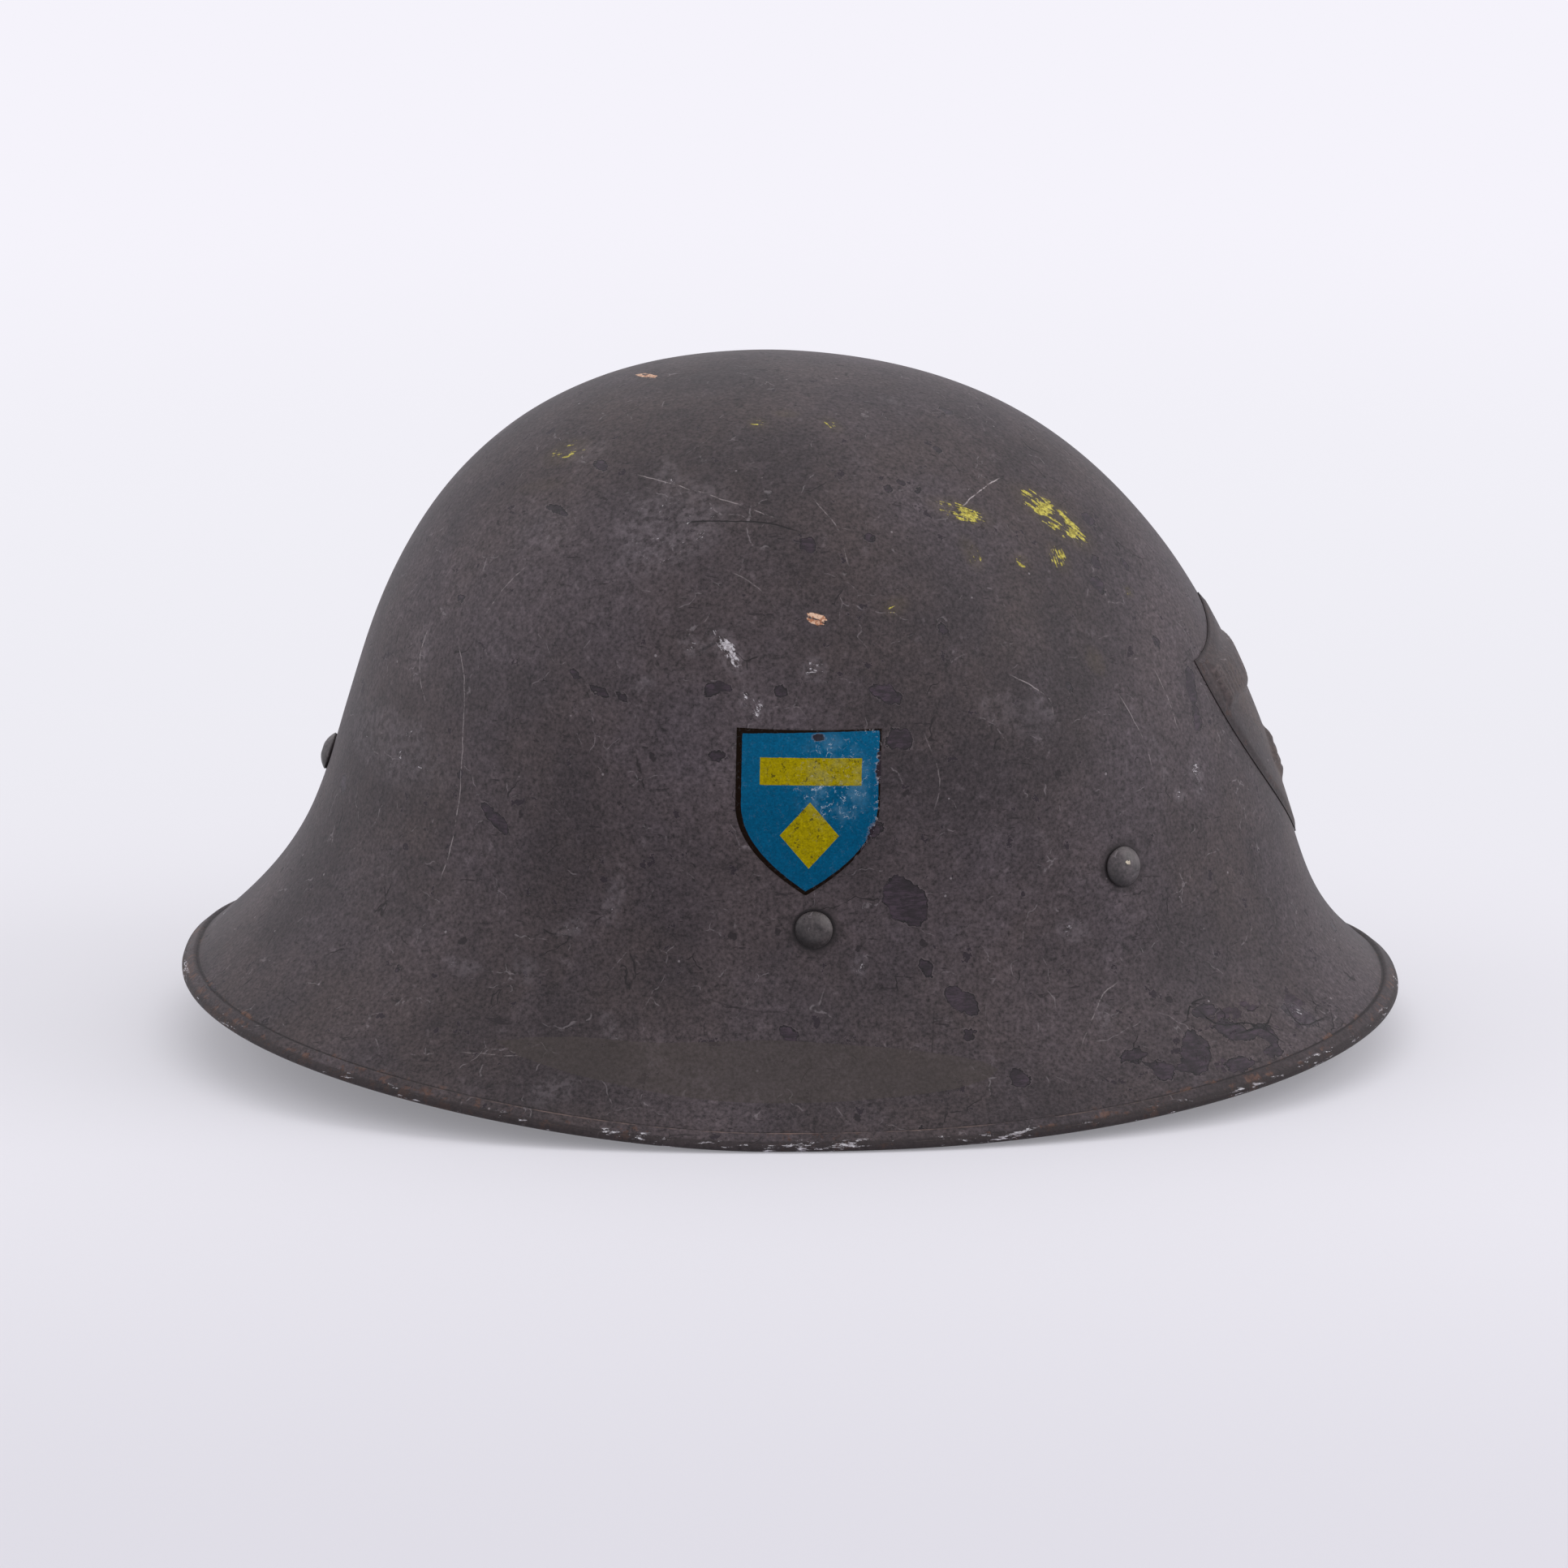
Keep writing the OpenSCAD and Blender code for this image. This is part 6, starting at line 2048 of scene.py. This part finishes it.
@dataclass(frozen=True)
class ChinStrap:
    """The two leather halves of the chinstrap and the keeper."""

    hook_x: float = 5.56
    eye_y: float = 92.16
    bar_z: float = 21.1
    width: float = 13.0
    thick: float = 2.0
    fold_r: float = 2.45
    leave: float = 55.0
    sag: float = 24.0
    short_z: float = 2.85
    long_z: float = 1.3
    drift: float = 10.5
    drift_from: float = 8.0
    drift_over: float = 62.0
    rising: float = 42.0
    tip_lift: float = 5.0
    holes: tuple[int, float, float] = (6, 26.0, 9.0)
    short_run: float = 112.0
    long_run: float = 150.0
    fold_len: float = 24.0
    keeper: tuple[float, float, float] = (80.0, 8.0, 1.3)

    def _lay(self, w: float, run_z: float) -> tuple[float, float, float]:
        """Run, height and heading of the sloping and lying stretch.

        Args:
            w: Length along the strap from the loop.
            run_z: Height at which it lies.

        Returns:
            Run and height in millimetres, and heading in degrees.
        """
        leave = math.radians(self.leave)
        start = np.array([-self.fold_r * math.sin(leave), self.bar_z - self.fold_r * math.cos(leave)])
        straight = (start[1] - run_z - self.sag * (1 - math.cos(leave))) / math.sin(leave)
        ahead = np.array([math.cos(leave), -math.sin(leave)])
        if w <= straight:
            return (*(start + ahead * w), -self.leave)
        turn = leave - min(leave, (w - straight) / self.sag)
        flat = max(0.0, w - straight - self.sag * leave)
        corner = start + ahead * straight
        return (corner[0] + self.sag * (math.sin(leave) - math.sin(turn)) + flat,
                corner[1] - self.sag * (math.cos(turn) - math.cos(leave)), -math.degrees(turn))

    def _slope_len(self, run_z: float) -> float:
        """Length of the stretch before the strap lies flat."""
        leave = math.radians(self.leave)
        start_z = self.bar_z - self.fold_r * math.cos(leave)
        return (start_z - run_z - self.sag * (1 - math.cos(leave))) / math.sin(leave) + self.sag * leave

    def _gap(self, w: float) -> float:
        """Distance between the two layers of a folded end."""
        step = self.thick + 0.2
        return step + (2 * self.fold_r - step) * (1 - float(ease(w / 9.0)))

    def _ring(self, run: float, z: float, heading: float, half: float, drift: float) -> Array:
        """A rounded cross-section of the strap.

        Args:
            run: Distance along the strap's run.
            z: Height of its middle.
            heading: Direction that it faces, in degrees from level.
            half: Half its width.
            drift: How far it drifts to the side on its run.

        Returns:
            The points of the section.
        """
        t = (run - self.drift_from) / self.drift_over
        yaw = math.atan(drift * 6 * t * (1 - t) / self.drift_over) if 0 < t < 1 else 0.0
        h = math.radians(heading)
        across = np.array([math.cos(yaw), -math.sin(yaw), 0])
        ahead = np.array([math.sin(yaw) * math.cos(h), math.cos(yaw) * math.cos(h), math.sin(h)])
        up = np.cross(across, ahead)
        middle = np.array([self.hook_x + drift * float(ease(t)), run - self.eye_y, z])
        section = Sections.rounded(2 * half, self.thick, 0.62)
        return middle + np.outer(section[:, 0], across) + np.outer(section[:, 1], up)

    def _loop_fold(self, run_z: float, drift: float) -> list[Array]:
        """Rings of the folded end at the loop.

        Args:
            run_z: Height at which the strap lies.
            drift: How far it drifts to the side.

        Returns:
            The rings.
        """
        rings = []
        for w in np.arange(self.fold_len, 1.4, -1.5):
            run, z, heading = self._lay(w, run_z)
            off, h = self._gap(w), math.radians(heading)
            rings.append(self._ring(run - off * math.sin(h), z + off * math.cos(h), heading + 180,
                                    self.width / 2, drift))
        for a in np.arange(90 - self.leave, 270.1 - self.leave, 11.25):
            f = math.radians(a)
            rings.append(self._ring(self.fold_r * math.cos(f), self.bar_z + self.fold_r * math.sin(f), a + 90,
                                    self.width / 2, drift))
        return rings

    def _lying(self, run_z: float, to: float, drift: float) -> list[Array]:
        """Rings from the loop down to the table and along it.

        Args:
            run_z: Height at which the strap lies.
            to: Where the stretch ends on the run.
            drift: How far it drifts to the side.

        Returns:
            The rings.
        """
        rings = []
        for w in np.arange(1.5, self._slope_len(run_z), 1.5):
            run, z, heading = self._lay(w, run_z)
            rings.append(self._ring(run, z, heading, self.width / 2, drift))
        start = self._lay(self._slope_len(run_z), run_z)[0]
        for run in np.arange(start + 1, to + 0.01, 3.0):
            wave = 0.12 * math.sin(run / 9.0) if run < to - 14 else 0.0
            rings.append(self._ring(run, run_z + max(0.0, wave), 0, self.width / 2, drift))
        return rings

    @staticmethod
    def _block(low: Sequence[float], high: Sequence[float]) -> Piece:
        """A box between two corners."""
        (x0, y0, z0), (x1, y1, z1) = low, high
        rings = [[(x0, y, z0), (x1, y, z0), (x1, y, z1), (x0, y, z1)] for y in (y0, y1)]
        return MeshKit.tube("block", np.array(rings))

    def _short(self) -> Piece:
        """The short half, with its slot for the prong.

        Returns:
            The piece.
        """
        low, end, drift = self.short_z, self.short_run, self.drift
        rings = self._loop_fold(low, drift) + self._lying(low, end - 2, drift)
        heel, half = low + self.fold_r, self.width / 2
        for a in np.arange(-90, 90.1, 11.25):
            f = math.radians(a)
            run, z = end + self.fold_r * math.cos(f), heel + self.fold_r * math.sin(f)
            rings.append(self._ring(run, z, a + 90, half, drift))
        for w in np.arange(1.5, self.fold_len + 0.1, 1.5):
            rings.append(self._ring(end - w, low + self._gap(w), 180, half, drift))
        piece = MeshKit.tube("strap_short_leather", np.array(rings))
        x, y = self.hook_x + self.drift, self.short_run - self.eye_y
        MeshKit.cut(piece, [self._block((x - 2, y - 6.5, -1), (x + 2, y + 10, heel + 10))])
        return piece

    def _long(self) -> Piece:
        """The long half, with its punched holes, its rising end and its rounded tip.

        Returns:
            The piece.
        """
        def curl(run: float) -> float:
            """How far the end rises."""
            return self.tip_lift * max(0.0, (run - self.long_run) / self.rising + 1) ** 2

        def slope(run: float) -> float:
            """Heading of the rising end, in degrees."""
            share = max(0.0, (run - self.long_run) / self.rising + 1)
            return math.degrees(math.atan(2 * self.tip_lift * share / self.rising))

        low, drift = self.long_z, -self.drift
        rings = self._loop_fold(low, drift) + self._lying(low, self.long_run - self.rising, drift)
        for run in np.arange(self.long_run - 40, self.long_run - 12.5, 2.5):
            rings.append(self._ring(run, low + curl(run), slope(run), self.width / 2, drift))
        for t in np.sin(np.linspace(0, 1.5, 12)):
            run = self.long_run - 12 * (1 - t)
            half = max(self.width / 2 * math.sqrt(1 - t * t), 1.2)
            rings.append(self._ring(run, low + curl(run), slope(run), half, drift))
        piece = MeshKit.tube("strap_long_leather", np.array(rings))
        punches = []
        count, first, apart = self.holes
        for i in range(count):
            y = self.long_run - first - apart * i - self.eye_y
            place = (np.array([self.hook_x + drift, y, -1.0]), *np.eye(3))
            punches.append(MeshKit.revolve("punch", np.array([(1.5, 0), (1.5, 12)]), place, turns=28))
        MeshKit.cut(piece, punches)
        for vertex in piece.data.vertices:
            vertex.co.y = -vertex.co.y
        piece.data.flip_normals()
        MeshKit.outside(piece)
        return piece

    def _keeper(self) -> Piece:
        """The leather band that holds the long half's tip.

        Returns:
            The piece.
        """
        run, length, thick = self.keeper
        wide, tall = self.width + 0.8, 2 * self.thick + 0.75
        low = self.short_z - self.thick / 2 - 0.25
        middle = np.array([self.hook_x + self.drift, run - self.eye_y, low + tall / 2])
        path = Sections.rounded(wide + thick, tall + thick, thick * 0.75, steps=6)
        section = Sections.rounded(length, thick, 0.4)
        rings = []
        for before, point, after in zip(np.roll(path, 1, axis=0), path, np.roll(path, -1, axis=0)):
            step = after - before
            out = unit(np.array([step[1], 0, -step[0]]))
            here = np.array([point[0], 0, point[1]])
            out = out if out @ here > 0 else -out
            rings.append(middle + here + np.outer(section[:, 0], [0, 1, 0]) + np.outer(section[:, 1], out))
        return MeshKit.tube("keeper_leather", np.array(rings), closed=True)

    def dress(self, finishes: Finishes) -> list[Piece]:
        """Makes the straps and the keeper.

        Args:
            finishes: The materials.

        Returns:
            The short half, the long half and the keeper.
        """
        made = []
        for piece, node, body in ((self._short(), "chinstrap_short", "strap_short"),
                                  (self._long(), "chinstrap_long", "strap_long"),
                                  (self._keeper(), "strap_keeper", "keeper")):
            fit(piece, finishes.strap, node, body)
            made.append(piece)
        return made


class Hardware:
    """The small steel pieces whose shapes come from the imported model."""

    NODES = ("liner_pin_washers", "side_rivet_washers", "hanger_right", "hanger_left", "strap_loop_right",
             "strap_loop_left", "strap_rivets_short", "strap_rivet_long", "buckle_frame", "buckle_prong")

    def dress(self, frame: dict, finishes: Finishes) -> int:
        """Gives each piece its steel.

        Args:
            finishes: The materials.

        Returns:
            The number of pieces.
        """
        for name in self.NODES:
            node = frame["nodes"][name]
            node.data.materials.clear()
            node.data.materials.append(finishes.steel)
        return len(self.NODES)


# Studio


@dataclass(frozen=True)
class Lamp:
    """A soft rectangular lamp that looks at the helmet."""

    name: str
    place: tuple[float, float, float]
    size: tuple[float, float]
    power: float
    tint: tuple[float, float, float] = (1.0, 1.0, 1.0)
    target: tuple[float, float, float] = (0.0, 0.0, 0.08)

    def light(self) -> None:
        """Adds the lamp."""
        data = bpy.data.lights.new(self.name, "AREA")
        data.shape, data.size, data.size_y = "RECTANGLE", *self.size
        data.energy, data.color = self.power, self.tint
        lamp = bpy.data.objects.new(self.name, data)
        bpy.context.scene.collection.objects.link(lamp)
        lamp.location = self.place
        towards = Vector(self.target) - Vector(self.place)
        lamp.rotation_euler = towards.to_track_quat("-Z", "Y").to_euler()


@dataclass(frozen=True)
class Studio:
    """A pale table, soft lamps and the camera of the photograph."""

    camera_at: tuple[float, float, float] = (-0.0017, -1.4618, 0.3986)
    camera_turn: tuple[float, float, float] = (77.04, 0.0, 0.0)
    lens: float = 133.1
    lamps: tuple[Lamp, ...] = (
        Lamp("lamp_top", (0.1, 0.35, 1.5), (2.0, 1.2), 4.7),
        Lamp("lamp_left", (-1.5, -0.1, 0.75), (1.2, 1.4), 6.0),
        Lamp("lamp_right", (1.5, -0.3, 0.85), (1.0, 1.2), 9.5),
        Lamp("lamp_front", (0.5, -1.9, 0.8), (1.8, 0.7), 3.9),
    )
    world: Colour = srgb(245, 243, 251)
    world_light: float = 0.7

    def _floor(self) -> Piece:
        """The table as a large plane, which the camera sees away from the helmet as an emitted pale colour
        that grows lighter with distance, a painted fall of light.

        Returns:
            The table.
        """
        edge = 5000.0
        corners = [(-edge, -edge, -0.15), (edge, -edge, -0.15), (edge, edge, -0.15), (-edge, edge, -0.15)]
        floor = MeshKit.build("table", np.array(corners), [(0, 1, 2, 3)], smooth=False)
        sh = Shader("table_white")
        y, away = sh.part(sh.place, 1), sh.vector("LENGTH", sh.place, result="Value").rise(600, 1700)
        # The table's own colour is darker towards the camera, as painted shade.
        colour = sh.mix(srgb(217, 215, 224), srgb(230, 228, 236), y.rise(-420, -100))
        paper = sh.noise(1.2, 3, 0.6)
        colour = sh.mix(colour, srgb(214, 213, 220), (paper - 0.5).most(0.0) * 0.3)
        floor.data.materials.append(sh.finish(Base_Color=colour, Roughness=0.9, Specular_IOR_Level=0.1))
        # Emitted colour that grows lighter with distance: a painted fall of light.
        plain = sh.mix(srgb(227, 225, 233), srgb(237, 236, 243), y.rise(-380, 50))
        plain = sh.mix(plain, srgb(240, 239, 246), y.rise(200, 800))
        plain = sh.mix(plain, self.world, y.rise(700, 1700).most(away))
        far = sh.node("ShaderNodeEmission", {}, {"Color": plain, "Strength": 1.0}, 0)
        # Near the helmet the camera sees 27% of the emitted colour, a painted glow that lightens the helmet's
        # shadow on the table; further off it sees only that colour.
        seen = sh.seen() * (0.27 + y.rise(0, 380).most(away) * 0.73)
        blend = sh.node("ShaderNodeMixShader", {}, {0: seen, 1: Wire(sh, sh.body.outputs[0]), 2: far}, 0)
        sh.feed(sh.output.inputs["Surface"], blend)
        return floor

    def _world(self) -> None:
        """A low even light, and a pale background for the camera, for mirrors and for glass."""
        world = bpy.data.worlds.new("room")
        bpy.context.scene.world = world
        world.use_nodes = True
        sky = Nodes(world.node_tree)
        light = sky.node("ShaderNodeBackground", {}, {"Color": (1, 1, 1, 1), "Strength": self.world_light}, 0)
        pale = sky.node("ShaderNodeBackground", {}, {"Color": self.world, "Strength": 1.0}, 0)
        blend = sky.node("ShaderNodeMixShader", {}, {0: sky.seen(), 1: light, 2: pale}, 0)
        sky.feed(sky.tree.nodes.new("ShaderNodeOutputWorld").inputs[0], blend)

    def set_up(self) -> None:
        """Adds the table, the lamps, the room's light and the camera."""
        self._floor()
        for lamp in self.lamps:
            lamp.light()
        self._world()
        data = bpy.data.cameras.new("camera")
        data.lens, data.sensor_width, data.clip_end = self.lens, 36.0, 50.0
        camera = bpy.data.objects.new("camera", data)
        bpy.context.scene.collection.objects.link(camera)
        camera.location = self.camera_at
        camera.rotation_euler = [math.radians(v) for v in self.camera_turn]
        scene = bpy.context.scene
        scene.camera = camera
        scene.view_settings.view_transform = "Standard"


def main() -> None:
    """Builds the looks of the helmet and its studio, in order."""
    logging.basicConfig(level=logging.INFO, format="%(name)s: %(message)s")
    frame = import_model()
    finishes = Finishes()
    shell = SteelShell().dress(finishes)
    LOG.info("shell: %d faces", len(shell.data.polygons))
    badge, plate = SideBadge().dress(finishes), FrontPlate().dress(finishes)
    LOG.info("%s and %s done", badge.name, plate.name)
    pieces = Fasteners().dress(finishes) + Liner().dress(finishes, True)
    for piece in pieces + ChinStrap().dress(finishes):
        LOG.info("%s: %d faces", piece.name, len(piece.data.polygons))
    LOG.info("hardware: %d pieces", Hardware().dress(frame, finishes))
    Studio().set_up()


if __name__ == "__main__":
    main()
